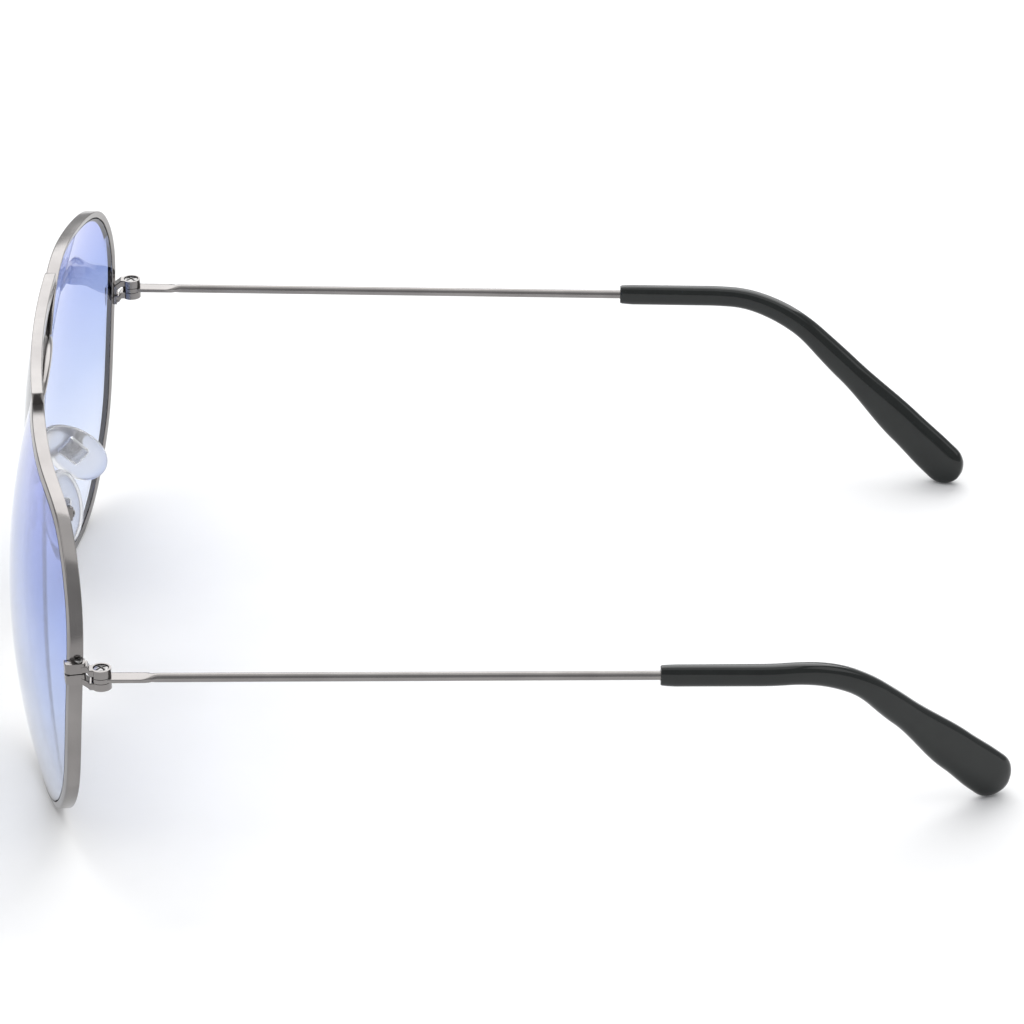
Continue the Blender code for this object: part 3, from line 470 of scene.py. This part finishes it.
def add_lens(side, sign, glass):
    """A lens of even thickness with a V edge that sits in the rim's groove."""
    half = 0.5 * LENS_THICKNESS
    face_edge = -RIM_IN - LENS_FIT
    tip = RIM_OUT - GROOVE_DEPTH - LENS_FIT
    shares = [i / 288 for i in range(288)]
    middle = OUTLINE.mean(axis=0)

    def ring(offset, depth, scale=1.0):
        points = [middle + scale * (outline_at(share, offset) - middle) for share in shares]
        return [front_point(across, up, depth, sign) for across, up in points]

    scales = list(np.linspace(0.04, 0.96, 24)) + [0.985]
    rings = [ring(face_edge, -half, scale) for scale in scales]
    rings += [ring(face_edge, -half), ring(tip, -0.5 * LENS_EDGE)]
    rings += [ring(tip, 0.5 * LENS_EDGE), ring(face_edge, half)]
    rings += [ring(face_edge, half, scale) for scale in reversed(scales)]
    poles = [front_point(*middle, depth, sign) for depth in (-half, half)]
    lens = loft(rings, poles=poles)
    piece(f"gradient_lens_{side}", lens, glass, "front", [f"lens_{side}"], sharp=20)


# ---------------------------------------------------------------- closing blocks and hinges


def block_point(side, out, back):
    """A plan position on a closing block, as on the left: outwards and backwards of the rim there."""
    across, up = outline_at(BLOCK_SHARES[side])
    slope = across / math.sqrt(LENS_RADIUS**2 - across**2 - up**2)
    origin = front_point(across, up, slope * 0.5 * (BLOCK_IN + BLOCK_OUT) + BLOCK_BACK, 1)
    c, s = math.cos(WRAP), math.sin(WRAP)
    return origin.x + c * out - s * back, origin.y + s * out + c * back


def block_plan(side):
    """The closing block seen from above, with its outer corners rounded."""
    half, cut = 0.5 * BLOCK_DEPTH, BLOCK_CORNER
    corners = [(BLOCK_IN, -half)]
    for middle, start in ((cut - half, -90), (half - cut, 0)):
        for angle in np.linspace(start, start + 90, 6):
            turn = math.radians(angle)
            corners.append((BLOCK_OUT - cut + cut * math.cos(turn), middle + cut * math.sin(turn)))
    corners.append((BLOCK_IN, half))
    return [block_point(side, out, back) for out, back in corners]


def knuckle_plan(count=56):
    angles = [2 * math.pi * i / count for i in range(count)]
    return [(HINGE_X + KNUCKLE_RADIUS * math.cos(a), KNUCKLE_RADIUS * math.sin(a)) for a in angles]


def mirror_plan(plan, sign):
    return [(sign * x, y) for x, y in plan]


def arm_solid(side, sign, block_low, knuckle_low, limit):
    """The arm from the closing block to a knuckle: a bar that slopes once it is clear of the block."""
    middle = 0.5 * (BLOCK_IN + BLOCK_OUT)
    start = block_point(side, middle, 0.5 * BLOCK_DEPTH - BLOCK_CORNER)
    leave = block_point(side, middle, 0.5 * BLOCK_DEPTH + ARM_CLEAR)
    level = (HINGE_X, -KNUCKLE_RADIUS - ARM_LEVELLING)
    share = (leave[1] - start[1]) / (level[1] - start[1])
    leave_low = limit(block_low, block_low + share * (knuckle_low - block_low))
    stations = (
        (start, block_low), (leave, leave_low), (level, knuckle_low), ((HINGE_X, ARM_END), knuckle_low),
    )
    half, soft = 0.5 * ARM_WIDTH, EDGE_SOFT
    corners = (
        (soft - half, 0), (half - soft, 0), (half, soft), (half, ARM_THICKNESS - soft),
        (half - soft, ARM_THICKNESS), (soft - half, ARM_THICKNESS), (-half, ARM_THICKNESS - soft),
        (-half, soft),
    )
    rings = []
    for (x, y), low in stations:
        rings.append([mirrored((x + across, y, low + rise), sign) for across, rise in corners])
    return loft(rings)


def add_end_pieces(side, sign, metal):
    """The two halves of the split closing block, each with the arm and knuckle that grow out of it."""
    reach = 0.5 * EYE_HEIGHT + EYE_PLAY
    middle = BLOCK_LEVELS[side]
    block_top, block_bottom = middle + 0.5 * BLOCK_HEIGHT, middle - 0.5 * BLOCK_HEIGHT
    upper_block = (middle + 0.5 * SPLIT, block_top)
    lower_block = (block_bottom, middle - 0.5 * SPLIT)
    upper_arm = max(min(HINGE_TOP, block_top) - ARM_THICKNESS, upper_block[0])
    lower_arm = min(max(HINGE_BOTTOM, block_bottom), lower_block[1] - ARM_THICKNESS)
    upper_knuckle = (EYE_MIDDLE + reach, HINGE_TOP)
    lower_knuckle = (HINGE_BOTTOM, EYE_MIDDLE - reach)
    halves = (
        ("upper", upper_knuckle, upper_block, upper_arm, HINGE_TOP - ARM_THICKNESS, max),
        ("lower", lower_knuckle, lower_block, lower_arm, HINGE_BOTTOM, min),
    )
    hinge = Matrix.Translation((sign * HINGE_X, 0, 0))
    bore, seat = HINGE_SCREW_RADIUS + SCREW_FIT, HINGE_HEAD_RADIUS + SCREW_FIT
    floor = HINGE_TOP - HINGE_HEAD_HEIGHT - SCREW_FIT
    past = 1.0 * MM
    x, y = block_point(side, RIM_SCREW_OUT, RIM_SCREW_BACK)
    for level, knuckle, block, block_arm, knuckle_arm, limit in halves:
        shares, section = rim_envelope(BLOCK_SHARES[side], SEAT_REACH)
        profile = ((bore, HINGE_BOTTOM - past), (bore, floor), (seat, floor), (seat, HINGE_TOP + past))
        rim_bore = RIM_SCREW_RADIUS + SCREW_FIT
        rim_profile = ((rim_bore, block_bottom - past), (rim_bore, block_top + past))
        body = carved(
            prism(mirror_plan(block_plan(side), sign), *block, soft=EDGE_SOFT),
            ("UNION", prism(mirror_plan(knuckle_plan(), sign), *knuckle, soft=EDGE_SOFT)),
            ("UNION", arm_solid(side, sign, block_arm, knuckle_arm, limit)),
            ("DIFFERENCE", loft(rim_rings(shares, section, sign))),
            ("DIFFERENCE", turned(profile, hinge)),
            ("DIFFERENCE", turned(rim_profile, Matrix.Translation((sign * x, y, 0)))),
        )
        replaced = [f"end_piece_{level}_{side}"]
        piece(f"end_block_{level}_{side}", body, metal, "front", replaced)


def add_hinge_screw(side, sign, steel):
    """The hinge screw: a domed head with a cross recess, sunk in the upper knuckle."""
    top = Matrix.Translation((sign * HINGE_X, 0, HINGE_TOP))
    low = HINGE_BOTTOM - HINGE_TOP
    profile = [(HINGE_SCREW_RADIUS - 0.08 * MM, low), (HINGE_SCREW_RADIUS, low + 0.1 * MM)]
    profile += [(HINGE_SCREW_RADIUS, -HINGE_HEAD_HEIGHT), (HINGE_HEAD_RADIUS, -HINGE_HEAD_HEIGHT)]
    profile += [(HINGE_HEAD_RADIUS, -HEAD_DOME)]
    for share in (0.97, 0.9, 0.75, 0.5, 0.25):
        profile.append((HINGE_HEAD_RADIUS * share, -HEAD_DOME * min(share**2, 0.85)))
    bar = (SLOT_SPAN * HINGE_HEAD_RADIUS, SLOT_WIDTH, SLOT_DEEP)
    cuts = []
    for angle in SLOT_ANGLES:
        turn = Matrix.Rotation(math.radians(angle), 4, "Z")
        cuts.append(("DIFFERENCE", box(bar, top @ turn, SLOT_SOFT, 1)))
    head = carved(turned(profile, top), *cuts)
    piece(f"hinge_screw_head_{side}", head, steel, "front", [f"hinge_screw_{side}"])


# ---------------------------------------------------------------- bar, bridge, pad arms


def add_brow_bar(metal):
    """The flat bar across both rims, bowed forward, with softened edges and rounded ends."""
    seat = front_point(*outline_at(BAR_SHARE, RIM_OUT), 0.0, 1)
    middle = seat.z - BAR_SEAT + 0.5 * BAR_HEIGHT
    half_w, half_h = 0.5 * BAR_WIDTH, 0.5 * BAR_HEIGHT
    corners = []
    for sx, sy, start in ((1, 1, 0), (-1, 1, 90), (-1, -1, 180), (1, -1, 270)):
        for angle in np.linspace(start, start + 90, 5):
            turn = math.radians(angle)
            corners.append((
                sx * (half_w - BAR_CORNER) + BAR_CORNER * math.cos(turn),
                sy * (half_h - BAR_CORNER) + BAR_CORNER * math.sin(turn),
            ))
    rings = []
    shares = [-1, -0.9985, -0.995, *np.linspace(-0.985, 0.985, 81), 0.995, 0.9985, 1]
    shrink = {1: 0.8, 0.9985: 0.92, 0.995: 0.98}
    for share in shares:
        scale = shrink.get(abs(share), 1.0)
        y = seat.y - BAR_BOW * (1 - share**2)
        slope = 2 * BAR_BOW * share / BAR_REACH
        across = Vector((slope, -1, 0)).normalized()
        centre = Vector((BAR_REACH * share, y, middle))
        rings.append([centre + across * a * scale + Vector((0, 0, b * scale)) for a, b in corners])
    shares, section = rim_envelope(BAR_SHARE, LONG_REACH)
    cuts = [("DIFFERENCE", loft(rim_rings(shares, section, sign))) for _, sign in SIDES]
    piece("top_bar", carved(loft(rings), *cuts), metal, "front", ["brow_bar"])
    for side, sign in SIDES:
        centre = Vector((sign * (BAR_REACH - 0.9 * MM), seat.y, seat.z - 0.05 * MM))
        solder = blob(centre, BAR_SOLDER)
        piece(f"bar_solder_{side}", solder, metal, "front")


def bridge_path(count):
    foot = front_point(*outline_at(BRIDGE_SHARE, BRIDGE_SINK * RIM_OUT), 0.0, 1)
    path = []
    for angle in np.linspace(0, math.pi, count):
        lift = math.sin(angle)
        rise = Vector((foot.x * math.cos(angle), foot.y - BRIDGE_BOW * lift, foot.z + BRIDGE_RISE * lift))
        path.append(rise)
    return path


def add_bridge(metal):
    """The lower bridge: a smooth round-edged arch whose feet are soldered to the rims."""
    path = bridge_path(97)
    rings = tube(path, superellipse(BRIDGE_HEIGHT, BRIDGE_WIDTH, BRIDGE_POWER, 32), up=Vector((0, -1, 0)))
    piece("arch_bridge", loft(rings), metal, "front", ["lower_bridge"])
    for side, end in (("left", path[2]), ("right", path[-3])):
        solder = blob(end, BRIDGE_SOLDER)
        piece(f"bridge_solder_{side}", solder, metal, "front")


def pad_matrix(side, sign):
    """The pad's frame from its pivot: X along the screw, Y down the pad, Z towards the nose."""
    lean, splay = PAD_LEANS[side], PAD_SPLAYS[side]
    down = Vector((math.tan(PAD_SPREAD), math.sin(lean), -math.cos(lean))).normalized()
    to_nose = Vector((-math.cos(splay), math.sin(splay), 0.0))
    screw = down.cross(to_nose).normalized()
    to_nose = screw.cross(down)
    axes = [mirrored(axis, sign) for axis in (screw, down, to_nose)]
    turn = Matrix((axes[0], axes[1], axes[2])).transposed()
    return Matrix.Translation(mirrored(PAD_PIVOTS[side], sign)) @ turn.to_4x4()


def add_pad_arm(side, sign, metal):
    """The bent wire from the back of the rim to the pad's box, with solder at its start."""
    start = front_point(*outline_at(ARM_SHARES[side], ARM_SINK * RIM_OUT), 0.48 * RIM_WIDTH, 1)
    pivot = PAD_PIVOTS[side]
    to_nose = pad_matrix(side, 1).to_3x3() @ Vector((0, 0, 1))
    end = pivot - to_nose * 0.5 * BOX_DEEP
    loop = [pivot + Vector(point) * MM for point in ARM_LOOPS_MM[side]]
    lead_out = start + Vector((0.0, ARM_LEAD_OUT, 0.0))
    lead_in = end - to_nose * ARM_LEAD_IN
    points = smooth_curve([start, lead_out, *loop, lead_in, end], 120)
    path = [mirrored(point, sign) for point in points]
    wire = tube(path, superellipse(ARM_DIAMETER, ARM_DIAMETER, 2.0, 24), up=mirrored(ARM_ROLL, sign))
    piece(f"bent_arm_{side}", loft(wire), metal, "front", [f"pad_arm_{side}"])
    foot = mirrored(start + Vector((0, 0.1 * MM, 0)), sign)
    solder = blob(foot, ARM_SOLDER)
    piece(f"arm_solder_{side}", solder, metal, "front")


# ---------------------------------------------------------------- nose pads


def add_nose_pad(side, sign, silicone, core, lug_metal):
    """The clear pad, and the core moulded into its back that carries the lug."""
    matrix = pad_matrix(side, sign)
    back = 0.5 * BOX_DEEP + ROCK_GAP

    def ring(scale, height, count=72):
        points = []
        for i in range(count):
            angle = 2 * math.pi * i / count
            down = math.sin(angle)
            across = math.cos(angle) * (1 + PAD_FLARE * down)
            place = Vector((0.5 * PAD_WIDTH * across * scale, 0.5 * PAD_LENGTH * down * scale, height))
            points.append(matrix @ place)
        return points

    levels = (
        (0.3, 0.0), (0.6, 0.0), (0.76, 0.005), (0.84, 0.03), (0.9, 0.08), (0.95, 0.16), (0.985, 0.27),
        (1.0, 0.4), (0.99, 0.52), (0.965, 0.63), (0.92, 0.74), (0.85, 0.83), (0.75, 0.9), (0.6, 0.955),
        (0.4, 0.985), (0.2, 0.997),
    )
    rings = [ring(scale, back + share * PAD_THICKNESS) for scale, share in levels]
    poles = [matrix @ Vector((0, 0, back + share * PAD_THICKNESS)) for share in (0.0, 1.0)]
    play = 2 * INSERT_FIT
    pocket = (INSERT_WIDTH + play, INSERT_LENGTH + play, 2 * INSERT_DEPTH + play)
    place = matrix @ Matrix.Translation((0, 0, back))
    body = carved(loft(rings, poles=poles), ("DIFFERENCE", box(pocket, place, corner=POCKET_SOFT)))
    rider = f"nose_pad_{side}_body"
    piece(f"silicone_pad_{side}", body, silicone, rider, [f"nose_pad_{side}"], 40)

    base = matrix @ Matrix.Translation((0, 0, back + 0.5 * INSERT_DEPTH))
    lug_across = BOX_ACROSS - 2 * BOX_WALL - 2 * LUG_FIT
    lug_along = BOX_ALONG - 2 * BOX_WALL - 2 * ROCK_GAP
    low = -0.5 * BOX_DEEP + BOX_WALL + LUG_FIT
    high = back + 0.5 * INSERT_DEPTH
    lug_place = matrix @ Matrix.Translation((0, 0, 0.5 * (low + high)))
    plate = box((INSERT_WIDTH, INSERT_LENGTH, INSERT_DEPTH), base, corner=PLATE_SOFT)
    lug = box((lug_across, lug_along, high - low), lug_place, corner=LUG_SOFT)
    piece(f"pad_core_{side}", plate, core, rider, [f"pad_insert_{side}"], 50)
    piece(f"pad_lug_{side}", lug, lug_metal, rider, sharp=50)


# ---------------------------------------------------------------- temples


def temple_path(side, lengths):
    """Points of a temple's centre line, as on the left, at the given lengths from its hinge axis."""
    steps = 2760
    step = TEMPLE_LENGTHS[side] / steps
    tilt = Matrix.Rotation(-TEMPLE_TILT, 3, "X")
    points = [Vector((0.0, 0.0, EYE_MIDDLE))]
    for i in range(steps):
        s = (i + 0.5) * step
        down = BEND_ANGLES[side] * min(max((s - BEND_START) / BEND_LENGTH, 0.0), 1.0)
        turned_in = min(max((s - INWARD_START) / INWARD_LENGTH, 0.0), 1.0)
        inward = TEMPLE_SPLAY + INWARD_ANGLES[side] * turned_in
        heading = Vector((
            -math.sin(inward), math.cos(inward) * math.cos(down), -math.sin(down) * math.cos(inward),
        ))
        points.append(points[-1] + tilt @ heading * step)
    return [points[min(int(round(s / step)), steps)] for s in lengths]


def temple_rings(side, lengths, sections, sign):
    """Rings along the temple, each square to it, from sections of (across, up) points."""
    nudge = 0.8 * MM
    before = temple_path(side, [max(s - nudge, 0.0) for s in lengths])
    after = temple_path(side, [min(s + nudge, TEMPLE_LENGTHS[side]) for s in lengths])
    rings = []
    for point, start, end, section in zip(temple_path(side, lengths), before, after, sections):
        along = (end - start).normalized()
        across = along.cross(Vector((0, 0, 1))).normalized()
        upward = across.cross(along)
        hinged = Vector((HINGE_X, 0, 0)) + point
        rings.append([mirrored(hinged + across * a + upward * b, sign) for a, b in section])
    return rings


def blended(table, share):
    """A value read off a table of (share, value) with an eased curve between its rows."""
    for (s0, v0), (s1, v1) in zip(table, table[1:]):
        if share <= s1:
            t = (share - s0) / (s1 - s0)
            return v0 + (v1 - v0) * t * t * (3 - 2 * t)
    return table[-1][1]


def add_temple(side, sign, metal):
    """The wire temple: an eye round the hinge screw, a flat strip, then wire that runs into the tip."""
    low, high = EYE_MIDDLE - 0.5 * EYE_HEIGHT, EYE_MIDDLE + 0.5 * EYE_HEIGHT
    eye = prism(mirror_plan(knuckle_plan(), sign), low, high, soft=0.1 * MM)
    strip_height = EYE_HEIGHT - STRIP_STEP
    stations = [(STRIP_START, 0.0), (STRIP_END, 0.0)]
    for share in np.linspace(0.05, 1.0, 20):
        stations.append((STRIP_END + share * STRIP_BLEND, share * share * (3 - 2 * share)))
    for s in (20, 40, 60, 80):
        stations.append((s * MM, 1.0))
    for s in np.linspace(INWARD_START, BEND_START + BEND_LENGTH, 40):
        stations.append((float(s), 1.0))
    stations.append((CORE_END, 1.0))
    sections = []
    for _, mix in stations:
        width = STRIP_WIDTH + mix * (WIRE_DIAMETER - STRIP_WIDTH)
        height = strip_height + mix * (WIRE_DIAMETER - strip_height)
        power = STRIP_POWER + min(1.5 * mix, 1.0) * (2.0 - STRIP_POWER)
        sections.append(superellipse(width, height, power, 36))
    wire = loft(temple_rings(side, [s for s, _ in stations], sections, sign))
    bore = HINGE_SCREW_RADIUS + 0.5 * SCREW_FIT
    hole = turned(((bore, low - MM), (bore, high + MM)), Matrix.Translation((sign * HINGE_X, 0, 0)))
    body = carved(eye, ("UNION", wire), ("DIFFERENCE", hole))
    rider = f"temple_{side}_body"
    piece(f"wire_temple_{side}", body, metal, rider, [f"temple_{side}"])


def add_tip(side, sign, plastic):
    """The plastic sleeve over the temple's end: a slim start that swells to a rounded paddle."""
    length = TEMPLE_LENGTHS[side] - TIP_START
    body_end = TEMPLE_LENGTHS[side] - TIP_ROUND
    lengths = [TIP_START + s * MM for s in (0.0, 0.02, 0.08, 0.18, 0.32, 0.5, 1.0)]
    edge = [TIP_CHAMFER * k for k in (1.0, 0.72, 0.42, 0.18, 0.04, 0.0, 0.0)]
    lengths += list(np.linspace(TIP_START + 2 * MM, body_end, 110))
    for angle in (8, 16, 24, 32, 40, 48, 55, 62, 69, 75, 80, 84, 87):
        lengths.append(body_end + TIP_ROUND * math.sin(math.radians(angle)))
    sections = []
    for i, s in enumerate(lengths):
        share = (s - TIP_START) / length
        less = edge[i] if i < len(edge) else 0.0
        width = blended(TIP_WIDTHS, share) * MM - less
        height = blended(TIP_HEIGHTS, share) * MM - less
        drop = TIP_DROP * (blended(TIP_HEIGHTS, share) - TIP_HEIGHTS[0][1]) * MM
        shrink = math.sqrt(1 - max((s - body_end) / TIP_ROUND, 0.0) ** 2)
        narrow = TIP_BLUNT + (1 - TIP_BLUNT) * shrink
        section = superellipse(width * narrow, height * shrink, TIP_POWER, 48)
        sections.append([(across, up - drop) for across, up in section])
    sleeve = loft(temple_rings(side, lengths, sections, sign))
    mouth = superellipse(WIRE_DIAMETER + 2 * CORE_FIT, WIRE_DIAMETER + 2 * CORE_FIT, 2.0, 36)
    depths = [TIP_START - MM, TIP_START + 4 * MM]
    body = carved(sleeve, ("DIFFERENCE", loft(temple_rings(side, depths, [mouth] * 2, sign))))
    piece(f"end_tip_{side}", body, plastic, f"temple_{side}_body", [f"temple_tip_{side}"], 40)


# ---------------------------------------------------------------- materials


class Nodes:
    """A material's node tree, with its Principled shader, and short ways to add and join nodes."""

    def __init__(self, name):
        self.material = bpy.data.materials.new(name)
        self.material.use_nodes = True
        self.tree = self.material.node_tree
        self.shader = self.tree.nodes["Principled BSDF"]

    def set(self, **values):
        for name, value in values.items():
            self.shader.inputs[name.replace("_", " ")].default_value = value

    def add(self, kind, **values):
        node = self.tree.nodes.new(kind)
        for name, value in values.items():
            if hasattr(node, name):
                setattr(node, name, value)
            else:
                node.inputs[name.replace("_", " ")].default_value = value
        return node

    def join(self, output, target):
        self.tree.links.new(output, target)

    def place(self):
        return self.add("ShaderNodeTexCoord").outputs["Object"]

    def noise(self, scale, detail=4.0, stretch=None):
        node = self.add("ShaderNodeTexNoise", Scale=scale, Detail=detail)
        place = self.place()
        if stretch:
            mapping = self.add("ShaderNodeMapping", Scale=stretch)
            self.join(place, mapping.inputs["Vector"])
            place = mapping.outputs["Vector"]
        self.join(place, node.inputs["Vector"])
        return node.outputs["Fac"]

    def ramp(self, source, stops):
        node = self.add("ShaderNodeValToRGB")
        points = node.color_ramp.elements
        while len(points) < len(stops):
            points.new(0.5)
        for point, (place, colour) in zip(points, stops):
            point.position = place
            point.color = (*colour, 1.0)
        self.join(source, node.inputs["Fac"])
        return node.outputs["Color"]

    def between(self, source, low, high):
        node = self.add("ShaderNodeMapRange")
        node.inputs["To Min"].default_value = low
        node.inputs["To Max"].default_value = high
        self.join(source, node.inputs["Value"])
        return node.outputs["Result"]

    def bump(self, source, strength, distance):
        node = self.add("ShaderNodeBump", Strength=strength, Distance=distance)
        self.join(source, node.inputs["Height"])
        self.join(node.outputs["Normal"], self.shader.inputs["Normal"])


def metal_material():
    """Polished gunmetal plating, a little uneven in tone, with fine polishing marks."""
    nodes = Nodes("polished_metal")
    nodes.set(Metallic=1.0)
    tone = nodes.noise(140.0, 3.0)
    colour = nodes.ramp(tone, ((0.3, (0.225, 0.213, 0.208)), (0.7, (0.275, 0.262, 0.255))))
    nodes.join(colour, nodes.shader.inputs["Base Color"])
    marks = nodes.noise(2600.0, 3.0, stretch=(1.0, 0.08, 1.0))
    nodes.join(nodes.between(marks, 0.12, 0.22), nodes.shader.inputs["Roughness"])
    nodes.bump(marks, 0.03, 0.004 * MM)
    return nodes.material


def steel_material():
    """Screw steel: a little rougher, with turning marks and darker specks."""
    nodes = Nodes("screw_steel")
    nodes.set(Metallic=1.0)
    specks = nodes.noise(3000.0, 5.0)
    colour = nodes.ramp(specks, ((0.35, (0.13, 0.125, 0.125)), (0.6, (0.34, 0.335, 0.33))))
    nodes.join(colour, nodes.shader.inputs["Base Color"])
    nodes.join(nodes.between(specks, 0.18, 0.34), nodes.shader.inputs["Roughness"])
    nodes.bump(specks, 0.1, 0.006 * MM)
    return nodes.material


def lens_material():
    """Tinted lens: blue at the top, nearly clear at the bottom, with faint smears in its coating."""
    nodes = Nodes("tinted_lens")
    nodes.set(Transmission_Weight=1.0, IOR=1.5, Specular_Tint=(0.80, 0.80, 1.0, 1.0))
    low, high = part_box("lens_left")
    split = nodes.add("ShaderNodeSeparateXYZ")
    nodes.join(nodes.place(), split.inputs["Vector"])
    level = nodes.add("ShaderNodeMapRange")
    level.inputs["From Min"].default_value = low.z
    level.inputs["From Max"].default_value = high.z
    nodes.join(split.outputs["Z"], level.inputs["Value"])
    tint = nodes.ramp(level.outputs["Result"], (
        (0.0, (0.80, 0.84, 0.95)), (0.13, (0.71, 0.77, 0.91)), (0.25, (0.60, 0.67, 0.85)),
        (0.42, (0.44, 0.53, 0.79)), (0.72, (0.28, 0.37, 0.74)), (1.0, (0.31, 0.36, 0.76)),
    ))
    nodes.join(tint, nodes.shader.inputs["Base Color"])
    smears = nodes.noise(120.0, 5.0)
    nodes.join(nodes.between(smears, 0.0, 0.035), nodes.shader.inputs["Roughness"])
    return nodes.material


def plastic_material():
    """Near-black glossy plastic with a faint green cast and moulded skin."""
    nodes = Nodes("dark_tip")
    skin = nodes.noise(500.0, 4.0)
    colour = nodes.ramp(skin, ((0.3, (0.0045, 0.0062, 0.0058)), (0.7, (0.0085, 0.0112, 0.0100))))
    nodes.join(colour, nodes.shader.inputs["Base Color"])
    nodes.set(Coat_Weight=0.25, Coat_Roughness=0.08, Specular_IOR_Level=0.32)
    nodes.join(nodes.between(skin, 0.1, 0.18), nodes.shader.inputs["Roughness"])
    nodes.bump(skin, 0.06, 0.01 * MM)
    return nodes.material


def silicone_material():
    """Clear soft silicone: hazy, with a moulded skin."""
    nodes = Nodes("clear_silicone")
    nodes.set(Transmission_Weight=0.8, IOR=1.36)
    haze = nodes.noise(400.0, 3.0)
    colour = nodes.ramp(haze, ((0.3, (0.96, 0.97, 0.99)), (0.7, (0.99, 0.99, 1.0))))
    nodes.join(colour, nodes.shader.inputs["Base Color"])
    nodes.join(nodes.between(haze, 0.16, 0.3), nodes.shader.inputs["Roughness"])
    return nodes.material


def core_material():
    """The pad's core: nearly clear moulded plastic, a little greyer than the silicone round it."""
    nodes = Nodes("pad_core")
    grain = nodes.noise(1500.0, 4.0)
    colour = nodes.ramp(grain, ((0.3, (0.66, 0.67, 0.70)), (0.7, (0.78, 0.79, 0.82))))
    nodes.join(colour, nodes.shader.inputs["Base Color"])
    nodes.set(Transmission_Weight=0.7, IOR=1.42)
    nodes.join(nodes.between(grain, 0.2, 0.35), nodes.shader.inputs["Roughness"])
    return nodes.material


# ---------------------------------------------------------------- studio


def add_floor():
    """A plain pale table top, well past the view's edges."""
    nodes = Nodes("pale_floor")
    grain = nodes.noise(60.0, 4.0)
    colour = nodes.ramp(grain, ((0.3, (0.93, 0.93, 0.93)), (0.7, (0.96, 0.96, 0.96))))
    nodes.join(colour, nodes.shader.inputs["Base Color"])
    nodes.set(Roughness=0.9)
    solid = bmesh.new()
    bmesh.ops.create_grid(solid, x_segments=4, y_segments=4, size=6.0)
    mesh = bpy.data.meshes.new("pale_floor")
    solid.to_mesh(mesh)
    solid.free()
    mesh.materials.append(nodes.material)
    floor = bpy.data.objects.new("pale_floor", mesh)
    floor.location.z = -0.02 * MM
    bpy.context.scene.collection.objects.link(floor)


def add_softbox(name, azimuth, elevation, distance, size, radiance):
    """A soft area light that faces the object from the given direction. Azimuth 0 is +X, 90 is +Y."""
    light = bpy.data.lights.new(name, "AREA")
    light.shape = "RECTANGLE"
    light.size, light.size_y = size
    light.energy = radiance * math.pi * size[0] * size[1]
    obj = bpy.data.objects.new(name, light)
    a, e = math.radians(azimuth), math.radians(elevation)
    direction = Vector((math.cos(a) * math.cos(e), math.sin(a) * math.cos(e), math.sin(e)))
    obj.location = direction * distance
    obj.rotation_mode = "QUATERNION"
    obj.rotation_quaternion = direction.to_track_quat("Z", "Y")
    bpy.context.scene.collection.objects.link(obj)


def add_studio():
    world = bpy.data.worlds.new("studio")
    world.use_nodes = True
    world.node_tree.nodes["Background"].inputs["Color"].default_value = (0.97, 0.98, 1.0, 1.0)
    world.node_tree.nodes["Background"].inputs["Strength"].default_value = 0.52
    bpy.context.scene.world = world
    bpy.context.scene.view_settings.view_transform = "Standard"
    add_softbox("softbox_top", 0, 88, 2.4, (2.2, 2.2), 0.8)
    add_softbox("softbox_far", 180, 44, 2.6, (3.2, 2.5), 2.3)
    add_softbox("softbox_rear", 80, 40, 2.8, (1.8, 1.4), 0.9)
    add_softbox("softbox_front", -80, 40, 2.8, (1.8, 1.4), 0.9)


def add_camera():
    """A long lens at the wearer's left, a little above, with the temples running to the right."""
    e, a = CAMERA_ELEVATION, CAMERA_AZIMUTH
    back = Vector((math.cos(e) * math.cos(a), math.cos(e) * math.sin(a), math.sin(e)))
    right = (-back).cross(Vector((0, 0, 1))).normalized()
    level = Matrix((right, back.cross(right), back)).transposed()
    turn = level @ Matrix.Rotation(CAMERA_ROLL, 3, "Z")
    camera = bpy.data.cameras.new("camera")
    camera.lens = CAMERA_LENS_MM
    camera.sensor_width = 36.0
    camera.clip_start = 0.05
    camera.clip_end = 50.0
    obj = bpy.data.objects.new("camera", camera)
    obj.matrix_world = STAND @ Matrix.Translation(CAMERA_TARGET + back * CAMERA_DISTANCE) @ turn.to_4x4()
    bpy.context.scene.collection.objects.link(obj)
    bpy.context.scene.camera = obj


# ---------------------------------------------------------------- the whole


def main():
    add_camera()
    add_studio()
    add_floor()
    metal, steel, glass = metal_material(), steel_material(), lens_material()
    plastic, silicone, core = plastic_material(), silicone_material(), core_material()
    for side, sign in SIDES:
        add_rim(side, sign, metal)
        add_lens(side, sign, glass)
        add_end_pieces(side, sign, metal)
        add_hinge_screw(side, sign, steel)
        add_pad_arm(side, sign, metal)
        add_nose_pad(side, sign, silicone, core, steel)
        add_temple(side, sign, metal)
        add_tip(side, sign, plastic)
    add_brow_bar(metal)
    add_bridge(metal)
    kept = {"pad_box": metal, "pad_screw": steel, "rim_screw": steel}
    for name, node in frame["nodes"].items():
        for start, material in kept.items():
            if name.startswith(start):
                node.data.materials.clear()
                node.data.materials.append(material)


main()
